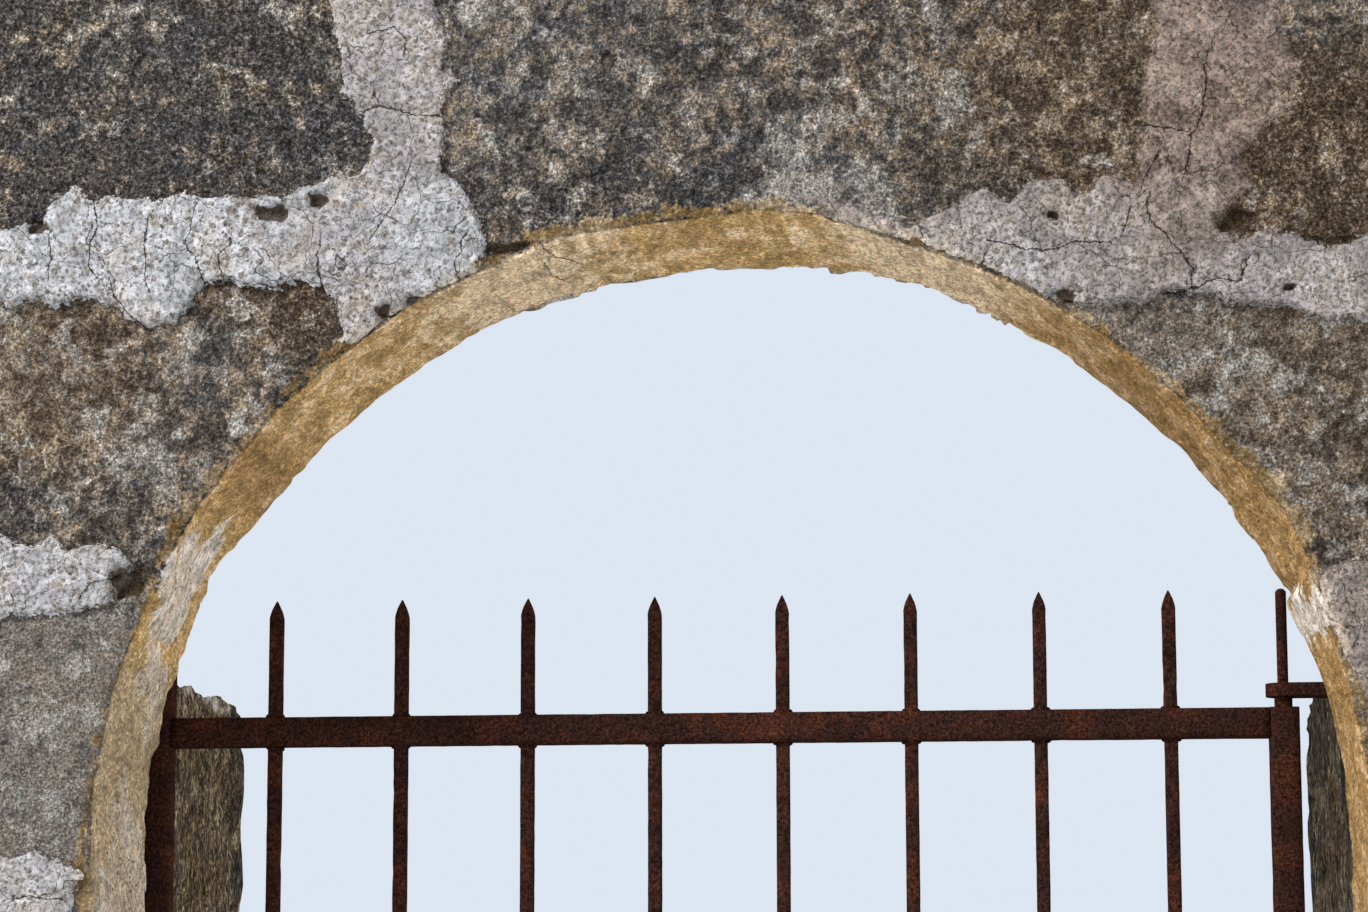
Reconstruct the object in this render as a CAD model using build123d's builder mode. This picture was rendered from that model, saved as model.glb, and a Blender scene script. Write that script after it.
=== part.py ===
from build123d import *
import os

# Arched stone gateway with a single-leaf iron gate, in millimetres.
# X runs along the wall, Y through it from the street side to the yard side, Z up.
# The origin is on the ground, in the middle of the passage and of the arch wall's thickness.

# The passage and the arch cut through the wall
opening_width = 1200
springing_height = 1800

# The wall that carries the arch, laid in courses of large blocks
arch_wall_thickness = 240
wall_each_side = 950
springer_bed_below_springing = 26
springer_course = 286
crown_stone_cut = 30
top_course = 310
crown_stone_left = 305
crown_stone_right = 455

# Flat slabs that close the wall's top
coping_thickness = 80
coping_overhang = 25
coping_joint = 4
coping_slabs = 4

# The thicker rubble wall behind the arch wall, broken off at about head height
rear_wall_thickness = 560
rear_wall_above_rail = 53
rear_jamb_set_back = 24
crest_rise_left = (10, -14, 16, -8, 22, -24, 6)
crest_rise_right = (6, 20, -12, 12, -26, 8, -10)
crest_slope_depth = 70
crest_slope_drop = 45

# Threshold stone under the gate
threshold_height = 60
threshold_behind_arch = 150

# Gate leaf of square iron, hung behind the arch wall
leaf_behind_arch = 33
lock_gap = 8
hinge_gap = 43
foot_gap = 25
section = 30
rail_above_springing = 152
middle_rail_height = 1000
bar_size = 14
bar_count = 8
bar_pitch = 130
bars_towards_hinge = 4
bar_fit = 0.1
spear_rise = 120
spear_point = 18
spear_shoulder = 9
spear_shoulder_size = 9.5
spear_tip_size = 1.5

# Pins that the leaf turns on
top_pin_diameter = 11
pin_collar_diameter = 18
foot_pin_diameter = 16
pin_fit = 0.5
pin_end_gap = 1

# Upper hinge strap, an eye plate let into the rear wall
strap_width = 35
strap_thickness = 13
strap_above_rail = 11
strap_tail = 90

# Iron socket for the foot pin, let into the threshold
socket_size = 60
socket_depth = 32
socket_bore_depth = 22

# Lock case between the lock stile and the first bar, and its keeper in the rear wall
lock_height = 95
lock_thickness = 26
lock_bar_gap = 6
keyhole_diameter = 8
keyhole_slot_width = 4
keyhole_slot_length = 12
keeper_height = 110
keeper_width = 40
keeper_thickness = 8
keeper_slot_height = 36
keeper_slot_width = 14

# Planes and lines worked out from the sizes above
half_opening = opening_width / 2
wall_end = half_opening + wall_each_side
arch_front = -arch_wall_thickness / 2
arch_back = arch_wall_thickness / 2
rear_back = arch_back + rear_wall_thickness
springer_bed = springing_height - springer_bed_below_springing
haunch_bed = springer_bed + springer_course
crown_bed = springing_height + half_opening - crown_stone_cut
wall_top = crown_bed + top_course
top_rail_height = springing_height + rail_above_springing
rear_wall_height = top_rail_height + rear_wall_above_rail
lock_side_face = -half_opening - rear_jamb_set_back
hinge_side_face = half_opening

leaf_y = arch_back + leaf_behind_arch + section / 2
leaf_left = lock_side_face + lock_gap
leaf_right = hinge_side_face - hinge_gap
leaf_foot = threshold_height + foot_gap
hinge_x = leaf_right - section / 2
lock_stile_x = leaf_left + section / 2
rail_left = leaf_left + section
rail_right = leaf_right - section
rail_centre_x = (rail_left + rail_right) / 2
bars_centre_x = rail_centre_x + bars_towards_hinge
first_bar_x = bars_centre_x - bar_pitch * (bar_count - 1) / 2
spear_top = top_rail_height + spear_rise
strap_bottom = top_rail_height + strap_above_rail

os.makedirs("parts", exist_ok=True)


def save(builder, name):
    """Label a finished piece and write it under its own name."""
    builder.part.label = name
    export_step(builder.part, f"parts/{name}.step")


def block(left, right, front, back, low, high, mode=Mode.ADD):
    """A rectangular stone between six planes, in the part being built."""
    middle = ((left + right) / 2, (front + back) / 2, low)
    with BuildSketch(Plane(middle)) as bed:
        Rectangle(right - left, back - front)
    extrude(bed.sketch, amount=high - low, mode=mode)


def cut_passage():
    """Take the arched passage out of the part being built."""
    with BuildSketch(Plane.XZ.offset(-arch_back)) as passage:
        with Locations((0, springing_height)):
            Circle(half_opening)
        with Locations((0, springing_height / 2)):
            Rectangle(opening_width, springing_height)
    extrude(passage.sketch, amount=arch_wall_thickness, mode=Mode.SUBTRACT)


def square_post(centre_x, size, low, high):
    """An upright square bar in the plane of the leaf."""
    with BuildSketch(Plane((centre_x, leaf_y, low))) as foot:
        Rectangle(size, size)
    extrude(foot.sketch, amount=high - low)


def pointed_post(centre_x, size, low, tip_height):
    """An upright square bar in the plane of the leaf, forged to a pencil point at its head."""
    scale = size / bar_size
    point_foot = tip_height - spear_point * scale
    square_post(centre_x, size, low, point_foot)
    with BuildSketch(Plane((centre_x, leaf_y, point_foot))) as foot:
        Rectangle(size, size)
    with BuildSketch(Plane((centre_x, leaf_y, tip_height - spear_shoulder * scale))) as shoulder:
        Rectangle(spear_shoulder_size * scale, spear_shoulder_size * scale)
    with BuildSketch(Plane((centre_x, leaf_y, tip_height))) as tip:
        Rectangle(spear_tip_size, spear_tip_size)
    loft([foot.sketch, shoulder.sketch, tip.sketch], ruled=True)


# Jambs: the plain wall beside the passage
with BuildPart() as left_jamb:
    block(-wall_end, -half_opening, arch_front, arch_back, 0, springer_bed)
save(left_jamb, "left_jamb")

with BuildPart() as right_jamb:
    block(half_opening, wall_end, arch_front, arch_back, 0, springer_bed)
save(right_jamb, "right_jamb")

# Springer and haunch courses, cut to the arch on the passage side
with BuildPart() as left_springer:
    block(-wall_end, 0, arch_front, arch_back, springer_bed, haunch_bed)
    cut_passage()
save(left_springer, "left_springer")

with BuildPart() as right_springer:
    block(0, wall_end, arch_front, arch_back, springer_bed, haunch_bed)
    cut_passage()
save(right_springer, "right_springer")

with BuildPart() as left_haunch:
    block(-wall_end, 0, arch_front, arch_back, haunch_bed, crown_bed)
    cut_passage()
save(left_haunch, "left_haunch")

with BuildPart() as right_haunch:
    block(0, wall_end, arch_front, arch_back, haunch_bed, crown_bed)
    cut_passage()
save(right_haunch, "right_haunch")

# The crown stone bridges the passage, with the arch's top cut into its bed
with BuildPart() as crown_stone:
    block(-crown_stone_left, crown_stone_right, arch_front, arch_back, crown_bed, wall_top)
    cut_passage()
save(crown_stone, "crown_stone")

with BuildPart() as left_top_course:
    block(-wall_end, -crown_stone_left, arch_front, arch_back, crown_bed, wall_top)
save(left_top_course, "left_top_course")

with BuildPart() as right_top_course:
    block(crown_stone_right, wall_end, arch_front, arch_back, crown_bed, wall_top)
save(right_top_course, "right_top_course")

# Coping slabs along the wall's top
slab_pitch = 2 * wall_end / coping_slabs
for number in range(coping_slabs):
    slab_left = -wall_end + number * slab_pitch
    if number > 0:
        slab_left += coping_joint / 2
    slab_right = -wall_end + (number + 1) * slab_pitch
    if number < coping_slabs - 1:
        slab_right -= coping_joint / 2
    with BuildPart() as coping:
        block(slab_left, slab_right, arch_front - coping_overhang, arch_back + coping_overhang,
              wall_top, wall_top + coping_thickness)
    save(coping, f"coping_{number + 1}")


def rear_wall(near_x, far_x, crest_rise):
    """Rubble wall with a ragged crest that falls away at the back, in the part being built."""
    step = (far_x - near_x) / (len(crest_rise) - 1)
    crest = [(near_x + step * i, rear_wall_height + rise) for i, rise in enumerate(crest_rise)]
    with BuildSketch(Plane.XZ.offset(-rear_back)) as elevation:
        with BuildLine():
            Polyline((near_x, 0), *crest, (far_x, 0), close=True)
        make_face()
    extrude(elevation.sketch, amount=rear_wall_thickness)
    middle_x = (near_x + far_x) / 2
    peak = rear_wall_height + max(crest_rise)
    with BuildSketch(Plane.YZ.offset(middle_x)) as fallen_edge:
        with BuildLine():
            Polyline((rear_back - crest_slope_depth, peak), (rear_back, peak),
                     (rear_back, peak - crest_slope_drop), close=True)
        make_face()
    extrude(fallen_edge.sketch, amount=abs(far_x - near_x), both=True, mode=Mode.SUBTRACT)


# The left rear wall carries the keeper of the lock, let in flush with its reveal
keeper_low = middle_rail_height + section / 2 + (lock_height - keeper_height) / 2
with BuildPart() as rear_wall_left:
    rear_wall(lock_side_face, -wall_end, crest_rise_left)
    block(lock_side_face - keeper_thickness, lock_side_face, leaf_y - keeper_width / 2,
          leaf_y + keeper_width / 2, keeper_low, keeper_low + keeper_height, Mode.SUBTRACT)
save(rear_wall_left, "rear_wall_left")

# The right rear wall holds the tail of the upper hinge strap
with BuildPart() as rear_wall_right:
    rear_wall(hinge_side_face, wall_end, crest_rise_right)
    block(hinge_side_face, hinge_side_face + strap_tail, leaf_y - strap_width / 2,
          leaf_y + strap_width / 2, strap_bottom, strap_bottom + strap_thickness, Mode.SUBTRACT)
save(rear_wall_right, "rear_wall_right")

# Threshold between the jambs, with a pocket for the foot socket
with BuildPart() as threshold:
    block(-half_opening, half_opening, arch_front, arch_back, 0, threshold_height)
    block(lock_side_face, hinge_side_face, arch_back, arch_back + threshold_behind_arch,
          0, threshold_height)
    block(hinge_x - socket_size / 2, hinge_x + socket_size / 2, leaf_y - socket_size / 2,
          leaf_y + socket_size / 2, threshold_height - socket_depth, threshold_height, Mode.SUBTRACT)
save(threshold, "threshold")

# Fixed ironwork
with BuildPart() as foot_socket:
    block(hinge_x - socket_size / 2, hinge_x + socket_size / 2, leaf_y - socket_size / 2,
          leaf_y + socket_size / 2, threshold_height - socket_depth, threshold_height)
    with BuildSketch(Plane((hinge_x, leaf_y, threshold_height - socket_bore_depth))):
        Circle(foot_pin_diameter / 2 + pin_fit)
    extrude(amount=socket_bore_depth, mode=Mode.SUBTRACT)
save(foot_socket, "foot_socket")

with BuildPart() as hinge_strap:
    with BuildSketch(Plane((0, 0, strap_bottom))):
        with Locations((hinge_x, leaf_y)):
            Circle(strap_width / 2)
        with Locations(((hinge_x + hinge_side_face + strap_tail) / 2, leaf_y)):
            Rectangle(hinge_side_face + strap_tail - hinge_x, strap_width)
        with Locations((hinge_x, leaf_y)):
            Circle(top_pin_diameter / 2 + pin_fit, mode=Mode.SUBTRACT)
    extrude(amount=strap_thickness)
save(hinge_strap, "hinge_strap")

with BuildPart() as lock_keeper:
    block(lock_side_face - keeper_thickness, lock_side_face, leaf_y - keeper_width / 2,
          leaf_y + keeper_width / 2, keeper_low, keeper_low + keeper_height)
    block(lock_side_face - keeper_thickness, lock_side_face, leaf_y - keeper_slot_width / 2,
          leaf_y + keeper_slot_width / 2, keeper_low + (keeper_height - keeper_slot_height) / 2,
          keeper_low + (keeper_height + keeper_slot_height) / 2, Mode.SUBTRACT)
save(lock_keeper, "lock_keeper")

# Stiles of the leaf: the hinge stile stops at the top rail, the lock stile ends in a point
with BuildPart() as hinge_stile:
    square_post(hinge_x, section, leaf_foot, top_rail_height)
save(hinge_stile, "hinge_stile")

with BuildPart() as lock_stile:
    pointed_post(lock_stile_x, section, leaf_foot, spear_top)
save(lock_stile, "lock_stile")

# Pins at the head and the foot of the hinge stile
with BuildPart() as head_pin:
    with BuildSketch(Plane((hinge_x, leaf_y, top_rail_height))):
        Circle(pin_collar_diameter / 2)
    extrude(amount=strap_above_rail - pin_end_gap)
    with BuildSketch(Plane((hinge_x, leaf_y, top_rail_height))):
        Circle(top_pin_diameter / 2)
    extrude(amount=spear_rise)
    chamfer(head_pin.faces().sort_by(Axis.Z)[-1].edges(), top_pin_diameter / 4)
save(head_pin, "head_pin")

with BuildPart() as foot_pin:
    foot_pin_end = threshold_height - socket_bore_depth + pin_end_gap
    with BuildSketch(Plane((hinge_x, leaf_y, foot_pin_end))):
        Circle(foot_pin_diameter / 2)
    extrude(amount=leaf_foot - foot_pin_end)
save(foot_pin, "foot_pin")

# Rails, punched for the bars
for rail_name, rail_top in (
    ("top_rail", top_rail_height),
    ("middle_rail", middle_rail_height + section / 2),
    ("bottom_rail", leaf_foot + section),
):
    with BuildPart() as rail:
        block(rail_left, rail_right, leaf_y - section / 2, leaf_y + section / 2, rail_top - section, rail_top)
        with BuildSketch(Plane((0, leaf_y, rail_top - section))):
            for number in range(bar_count):
                with Locations((first_bar_x + number * bar_pitch, 0)):
                    Rectangle(bar_size + 2 * bar_fit, bar_size + 2 * bar_fit)
        extrude(amount=section, mode=Mode.SUBTRACT)
    save(rail, rail_name)

# Upright bars with spear points
for number in range(bar_count):
    bar_x = first_bar_x + number * bar_pitch
    with BuildPart() as bar:
        pointed_post(bar_x, bar_size, leaf_foot, spear_top)
    save(bar, f"bar_{number + 1}")

# Lock case on the middle rail, beside the lock stile
with BuildPart() as lock_case:
    case_right = first_bar_x - bar_size / 2 - lock_bar_gap
    case_low = middle_rail_height + section / 2
    block(rail_left, case_right, leaf_y - lock_thickness / 2, leaf_y + lock_thickness / 2,
          case_low, case_low + lock_height)
    keyhole_x = (rail_left + case_right) / 2
    with BuildSketch(Plane.XZ.offset(-leaf_y)):
        with Locations((keyhole_x, case_low + lock_height / 2)):
            Circle(keyhole_diameter / 2)
        with Locations((keyhole_x, case_low + lock_height / 2 - keyhole_slot_length / 2)):
            Rectangle(keyhole_slot_width, keyhole_slot_length)
    extrude(amount=lock_thickness, both=True, mode=Mode.SUBTRACT)
save(lock_case, "lock_case")
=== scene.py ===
"""Arched stone gateway: worn limestone blocks with wide lime joints, rubble walls behind, and an iron gate.

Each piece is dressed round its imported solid, in metres: x along the wall, y through it, z up.
"""

import itertools
import math
from types import SimpleNamespace

import bmesh
import bpy
import numpy as np
from bpy.props import FloatProperty, FloatVectorProperty, IntProperty, PointerProperty
from mathutils import Matrix, Vector


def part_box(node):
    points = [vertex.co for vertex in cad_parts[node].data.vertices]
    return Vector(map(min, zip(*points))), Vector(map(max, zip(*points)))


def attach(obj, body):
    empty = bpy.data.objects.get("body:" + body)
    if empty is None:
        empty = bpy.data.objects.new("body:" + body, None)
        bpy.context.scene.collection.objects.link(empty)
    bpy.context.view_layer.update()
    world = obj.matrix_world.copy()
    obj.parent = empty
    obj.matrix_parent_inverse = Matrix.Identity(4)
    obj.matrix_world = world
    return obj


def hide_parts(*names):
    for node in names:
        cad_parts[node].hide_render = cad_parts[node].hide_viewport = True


bl_info = {
    "name": "Arched Stone Gateway",
    "version": (1, 0, 0),
    "blender": (4, 5, 0),
    "location": "3D View > Sidebar > Gateway",
    "description": "Worn ashlar, rubble and rusty iron for an arched gateway",
    "category": "Object",
}

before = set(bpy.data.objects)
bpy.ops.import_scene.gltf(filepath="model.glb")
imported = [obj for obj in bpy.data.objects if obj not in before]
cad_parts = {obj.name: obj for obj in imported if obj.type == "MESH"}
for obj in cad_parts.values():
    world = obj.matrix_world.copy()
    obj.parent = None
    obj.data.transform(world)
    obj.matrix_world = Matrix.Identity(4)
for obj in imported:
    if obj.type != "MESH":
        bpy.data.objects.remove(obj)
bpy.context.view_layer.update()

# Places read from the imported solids
LOW = {name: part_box(name)[0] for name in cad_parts}
HIGH = {name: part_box(name)[1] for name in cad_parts}
FRONT = LOW["crown_stone"].y
BACK = HIGH["crown_stone"].y
WALL_END = HIGH["right_jamb"].x
HALF_OPENING = LOW["right_jamb"].x
SPRINGER_BED = HIGH["left_jamb"].z
HAUNCH_BED = HIGH["left_springer"].z
CROWN_BED = LOW["crown_stone"].z
WALL_TOP = HIGH["crown_stone"].z
CROWN_LEFT = LOW["crown_stone"].x
CROWN_RIGHT = HIGH["crown_stone"].x
COPINGS = tuple(sorted(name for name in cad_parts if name.startswith("coping_")))
BARS = tuple(sorted(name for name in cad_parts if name.startswith("bar_")))
RAILS = ("top_rail", "middle_rail", "bottom_rail")
STILES = ("hinge_stile", "lock_stile")

# The springing lies a little over the jambs, and these are the blocks' upright joints, from left to right
SPRINGING = SPRINGER_BED + 0.026
JAMB_COURSES = 6
TOP_JOINTS = (-1.05, CROWN_LEFT, CROWN_RIGHT, 1.2)
HAUNCH_JOINTS = (-1.18, 1.05)
SPRINGER_JOINTS = (-0.95, 1.3)
ODD_JAMB_JOINTS = (-1.24, 0.98)
EVEN_JAMB_JOINTS = (-0.93, 1.22)

# Where the photograph was taken from, and its frame
CAMERA_PLACE = np.array((0.2644, -3.6695, 1.5992))
CAMERA_PITCH = 0.1591
CAMERA_YAW = 0.0844
CAMERA_ROLL = -0.0024
LENS = 100.03
SENSOR = 36.0
PHOTO_WIDTH = 1368
PHOTO_HEIGHT = 912
FOCAL_PIXELS = LENS / SENSOR * PHOTO_WIDTH

# Outlines on the front face, in pixels of the photograph, each point given one by one
FRONT_ARRIS = (
    (88, 871), (109, 733), (140, 642), (179, 535), (253, 440), (331, 371), (436, 301), (545, 240),
    (684, 220), (771, 209), (902, 242), (1033, 301), (1142, 371), (1230, 450), (1283, 511), (1315, 580),
    (1341, 661), (1358, 726),
)
REAR_ARRIS = (
    (145, 870), (152, 788), (168, 713), (188, 639), (218, 569), (279, 500), (336, 441), (393, 395),
    (462, 350), (545, 319), (650, 284), (771, 270), (858, 275), (928, 286), (989, 318), (1077, 369),
    (1160, 434), (1230, 507), (1268, 560), (1281, 586), (1291, 596), (1284, 612), (1290, 636), (1303, 642),
    (1310, 664), (1322, 720), (1335, 785), (1352, 855),
)
LEFT_LIME = (
    (-60, 232), (0, 230), (19, 223), (41, 225), (51, 204), (80, 190), (96, 207), (105, 198), (159, 199),
    (191, 191), (204, 198), (255, 198), (300, 190), (355, 172), (369, 158), (372, 141), (362, 118),
    (343, 95), (332, 0), (335, -60), (432, -60), (438, 6), (448, 49), (438, 70), (458, 83), (443, 106),
    (446, 149), (443, 172), (461, 187), (481, 218), (488, 242), (486, 276), (440, 301), (418, 300),
    (410, 318), (383, 329), (372, 345), (351, 357), (325, 367), (330, 350), (344, 335), (335, 301),
    (319, 287), (303, 282), (271, 289), (223, 281), (204, 281), (195, 300), (179, 319), (150, 327),
    (128, 316), (112, 303), (77, 298), (61, 309), (35, 298), (13, 311), (0, 303), (-60, 300),
)
RIGHT_LIME = (
    (795, 190), (842, 200), (905, 226), (929, 221), (945, 207), (967, 196), (986, 191), (1005, 205),
    (1027, 184), (1069, 181), (1075, 196), (1091, 192), (1104, 176), (1139, 183), (1144, 124), (1145, 103),
    (1152, 40), (1160, -60), (1275, -60), (1285, 40), (1292, 100), (1238, 157), (1250, 183), (1215, 221),
    (1240, 238), (1290, 232), (1330, 248), (1368, 235), (1430, 238), (1430, 318), (1356, 320), (1321, 320),
    (1292, 310), (1228, 298), (1164, 291), (1145, 304), (1091, 307), (1056, 304), (985, 275), (930, 250),
    (862, 235),
)
HAUNCH_LIME = (
    (-60, 540), (0, 539), (28, 549), (50, 538), (66, 552), (94, 539), (121, 546), (129, 576), (110, 596),
    (110, 607), (63, 615), (33, 615), (0, 619), (-60, 622),
)
JAMB_LIME = ((-60, 862), (0, 857), (36, 849), (58, 860), (83, 877), (74, 901), (70, 960), (-60, 960))
RIGHT_PATCH = (
    (1325, 570), (1345, 560), (1430, 556), (1430, 702), (1368, 700), (1352, 672), (1340, 640), (1322, 610),
)
FRONT_LIME = (LEFT_LIME, RIGHT_LIME, HAUNCH_LIME, JAMB_LIME, RIGHT_PATCH)
PLASTER = (
    (143, 576), (198, 541), (234, 527), (229, 552), (205, 590), (193, 612), (179, 645), (160, 640),
    (152, 631), (152, 593),
)
DRIP = (
    (146, 646), (162, 650), (167, 668), (165, 700), (160, 724), (152, 742), (146, 730), (145, 700),
    (141, 672),
)
FOOT_DRIP = (
    (121, 772), (128, 776), (133, 800), (141, 830), (146, 870), (146, 990), (94, 990), (102, 871),
    (110, 838), (116, 800),
)
BED_LIME = ((1284, 596), (1302, 588), (1334, 600), (1338, 628), (1314, 634), (1297, 642), (1286, 624))
SOFFIT_LIME = (PLASTER, DRIP, FOOT_DRIP, BED_LIME)
CREST = ((176, 675), (181, 685), (193, 685), (205, 697), (217, 695), (226, 704), (238, 716))
SOFFIT_CRACKS = (
    ((494, 253), (506, 249), (520, 250), (538, 246)),
    ((538, 249), (556, 257), (580, 262), (604, 258)),
    ((583, 276), (610, 272), (634, 274)),
    ((545, 262), (552, 275), (566, 280)),
)
CRACKS = (
    ((49, 228), (52, 250), (50, 276)),
    ((96, 207), (95, 240), (90, 262), (96, 280)),
    ((148, 222), (145, 250), (149, 292)),
    ((199, 200), (188, 240), (196, 262), (203, 282)),
    ((229, 240), (222, 262), (222, 280)),
    ((319, 243), (318, 268), (321, 286)),
    ((112, 285), (120, 302), (135, 320), (150, 328)),
    ((363, 113), (385, 108), (406, 112), (441, 116)),
    ((369, 34), (395, 26), (404, 40), (406, 55)),
    ((409, 170), (398, 200), (372, 236)),
    ((469, 236), (456, 262), (466, 284)),
    ((1206, 60), (1206, 100), (1195, 132), (1192, 151), (1182, 183)),
    ((1145, 125), (1170, 128), (1192, 133)),
    ((1160, 151), (1150, 170), (1139, 188)),
    ((1147, 199), (1149, 221), (1177, 245), (1192, 269), (1190, 288)),
    ((1130, 210), (1123, 236)),
    ((1165, 292), (1190, 288), (1219, 279), (1239, 282), (1243, 268), (1251, 257)),
    ((988, 242), (1018, 248), (1059, 248), (1072, 242), (1110, 245)),
    ((988, 253), (976, 264)),
    ((85, 596), (91, 582), (118, 576)),
    ((12, 901), (25, 893), (66, 900)),
)
# Holes where lime or stone has dropped out: middle u, v and half sizes in pixels
HOLES = (
    (41, 227, 13, 8), (272, 214, 22, 10), (128, 582, 20, 17), (320, 200, 12, 9), (515, 249, 26, 7),
    (1235, 220, 20, 12), (1066, 297, 13, 9), (1052, 214, 9, 6), (1288, 287, 7, 5), (414, 300, 14, 8),
    (385, 311, 8, 11),
)
# Soft patches of tone: middle u, v, radius in pixels, then lichen, ochre and pale crust
TONES = (
    (30, 60, 110, 1.1, 0.1, 0.0), (120, 60, 80, 0.8, 0.05, 0.3), (250, 60, 90, 1.0, 0.05, 0.1),
    (300, 150, 90, 1.1, 0.0, 0.0), (15, 205, 55, 1.3, 0.0, 0.0), (180, 150, 90, 1.05, 0.15, 0.0),
    (520, 90, 110, 0.35, 0.15, 0.4), (560, 205, 100, 0.75, 0.1, 0.1), (680, 90, 110, 0.45, 0.28, 0.2),
    (700, 200, 70, 0.8, 0.1, 0.05), (795, 160, 45, 0.15, 0.0, 1.1), (860, 195, 45, 0.15, 0.0, 1.1),
    (760, 195, 40, 0.2, 0.0, 0.9), (900, 90, 110, 0.5, 0.35, 0.2), (960, 180, 70, 0.55, 0.35, 0.05),
    (1070, 110, 110, 0.55, 0.85, 0.0), (1320, 170, 80, 0.85, 0.9, 0.0), (40, 400, 90, 0.25, 1.05, 0.25),
    (130, 340, 70, 0.55, 0.7, 0.0), (300, 302, 45, 0.95, 0.6, 0.0), (230, 300, 60, 0.7, 0.6, 0.0),
    (190, 345, 55, 0.1, 0.1, 0.9), (140, 450, 45, 0.2, 0.3, 0.9), (30, 490, 60, 0.8, 0.2, 0.2),
    (230, 400, 70, 0.4, 0.4, 0.3), (90, 510, 80, 0.5, 0.4, 0.3), (40, 700, 110, -0.25, 0.3, 0.3),
    (60, 640, 50, -0.1, 0.3, 0.3), (40, 800, 100, -0.2, 0.2, 0.25), (1150, 335, 70, 0.15, 0.35, 0.3),
    (1060, 325, 50, 0.15, 0.3, 0.35), (1230, 400, 110, 0.22, 0.8, 0.4), (1330, 480, 110, 0.3, 0.6, 0.5),
    (1300, 350, 70, 0.25, 0.85, 0.4), (1345, 690, 90, 0.1, 0.35, 0.35),
)
TONE_ELSEWHERE = (0.42, 0.3, 0.25)
# Soft patches of lime: middle u, v, radius in pixels, then how grey and old it is
LIME_AGE = (
    (150, 250, 150, 0.0), (440, 250, 60, 0.0), (330, 240, 45, 0.25), (395, 80, 90, 0.35),
    (385, 320, 45, 0.35), (60, 580, 80, 0.1), (820, 205, 60, 0.75), (960, 215, 60, 0.5),
    (1030, 280, 40, 0.2), (1090, 250, 60, 0.5), (1200, 90, 110, 1.0), (1200, 215, 60, 0.8),
    (1250, 290, 60, 0.35), (1340, 285, 60, 0.4), (1345, 640, 80, 0.8), (30, 890, 60, 0.15),
)
# How fast a patch fades with distance, and the weight of the tone outside all patches
PATCH_FALLOFF = 1.6
ELSEWHERE_WEIGHT = 0.02

# The part of the wall that the photograph shows: its middle, half width, fade and foot
WINDOW_MIDDLE = -0.04
WINDOW = 0.74
WINDOW_FADE = 0.10
WINDOW_FOOT = SPRINGER_BED - 0.09
WINDOW_FULL = SPRINGER_BED - 0.04

# Sizes of the lime, the joints and the worn edges
LIME_BAND = 0.03
NO_LIME = -0.05
FAR_FROM_JOINT = 0.1
ARRIS_REACH = 0.055
BROKEN_ARRIS = 0.007
CRACK_REACH = 0.011
REAR_ARRIS_SHARE = 0.7
JOINT_WIDTH = 0.007
SUNK_REACH = 0.03
UNDERCUT_REACH = 0.012

# Facets round the arch, and how far its blank and the jambs' run past their shared bed before the cut
ARCH_STEPS = 96
CUT_OVERLAP = 0.03

# Depths of the stone's relief
SWELL = 0.004
LUMP = 0.0042
FINE_LUMP = 0.0014
PIT = 0.0055
BLOCK_STEP = 0.0035
SUNK_EDGE = 0.004
OPEN_JOINT = 0.007
HOLE = 0.010
UNDERCUT = 0.0025
CRACK = 0.0015
CUT_LUMP = 0.005
FINE_CUT_LUMP = 0.0022

# Places of tones under the arch: pale stone, a dark stain, and the foot of the lime wash
CREAM_PLACES = (-0.21, 0.2)
CREAM_WIDTH = 0.085
STAIN_PLACE = -0.462
STAIN_WIDTH = 0.035
PLASTER_FOOT = 2.02

# Tones where the photograph doesn't show the wall, by the block, on the reveals, under the coping and near
# the ground, and the age of the lime
BLOCK_TONE = 0.42
BLOCK_SWING = 0.3
# On the reveals the ochre share darkens the cut stone
REVEAL_TONE = (0.4, 0.4, 0.55)
COPING_STAIN = 0.4
COPING_STAIN_HEIGHT = 0.3
SPLASH = 0.35
SPLASH_HEIGHT = 0.35
AGE_ELSEWHERE = (0.4,)

# Coping and threshold: radius of the worn edges, then lichen, ochre and pale crust
COPING_ROUND = 0.012
COPING_TONE = (0.62, 0.2, 0.4)
THRESHOLD_ROUND = 0.014
THRESHOLD_TONE = (0.12, 0.25, 0.5)
TREAD_WEAR = 0.009
TREAD_HALF_WIDTH = 0.3

# Rubble: size of a stone, and how the left wall's head follows the photograph
RUBBLE_STONE = (0.25, 0.21, 0.135)
CREST_STRIPS = 24
CREST_FOOT = 1.8
CREST_FULL = 1.97
CREST_RISE = 0.025
FAR_BULGE = 0.012
BULGE_START = 0.42
BULGE_FULL = 0.66
WASH_TOP = 1.82

# Iron bars: length of one facet, and the points' stations as distance from the tip and half width
BAR_FACET = 0.009
BAR_CORNER = 0.16
DEEPEST_RUST = 0.0011
SPEAR_POINT = ((0.018, 0.007), (0.0135, 0.0061), (0.009, 0.00475), (0.0045, 0.0028), (0.0, 0.00075))

# Stage: where each lamp stands, what it points at and its width
KEY_LAMP = ((-3.9, -3.4, 5.6), (0.0, 0.0, 1.7), 1.8)
REAR_LAMP = ((3.0, 5.0, 4.2), (0.0, 0.2, 1.3), 3.2)
REAR_SHARE = 0.45
FLOOR_RADIUS = 60
FLOOR_SIDES = 96
FADE_START = 2.5
FADE_END = 11.0
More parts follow.
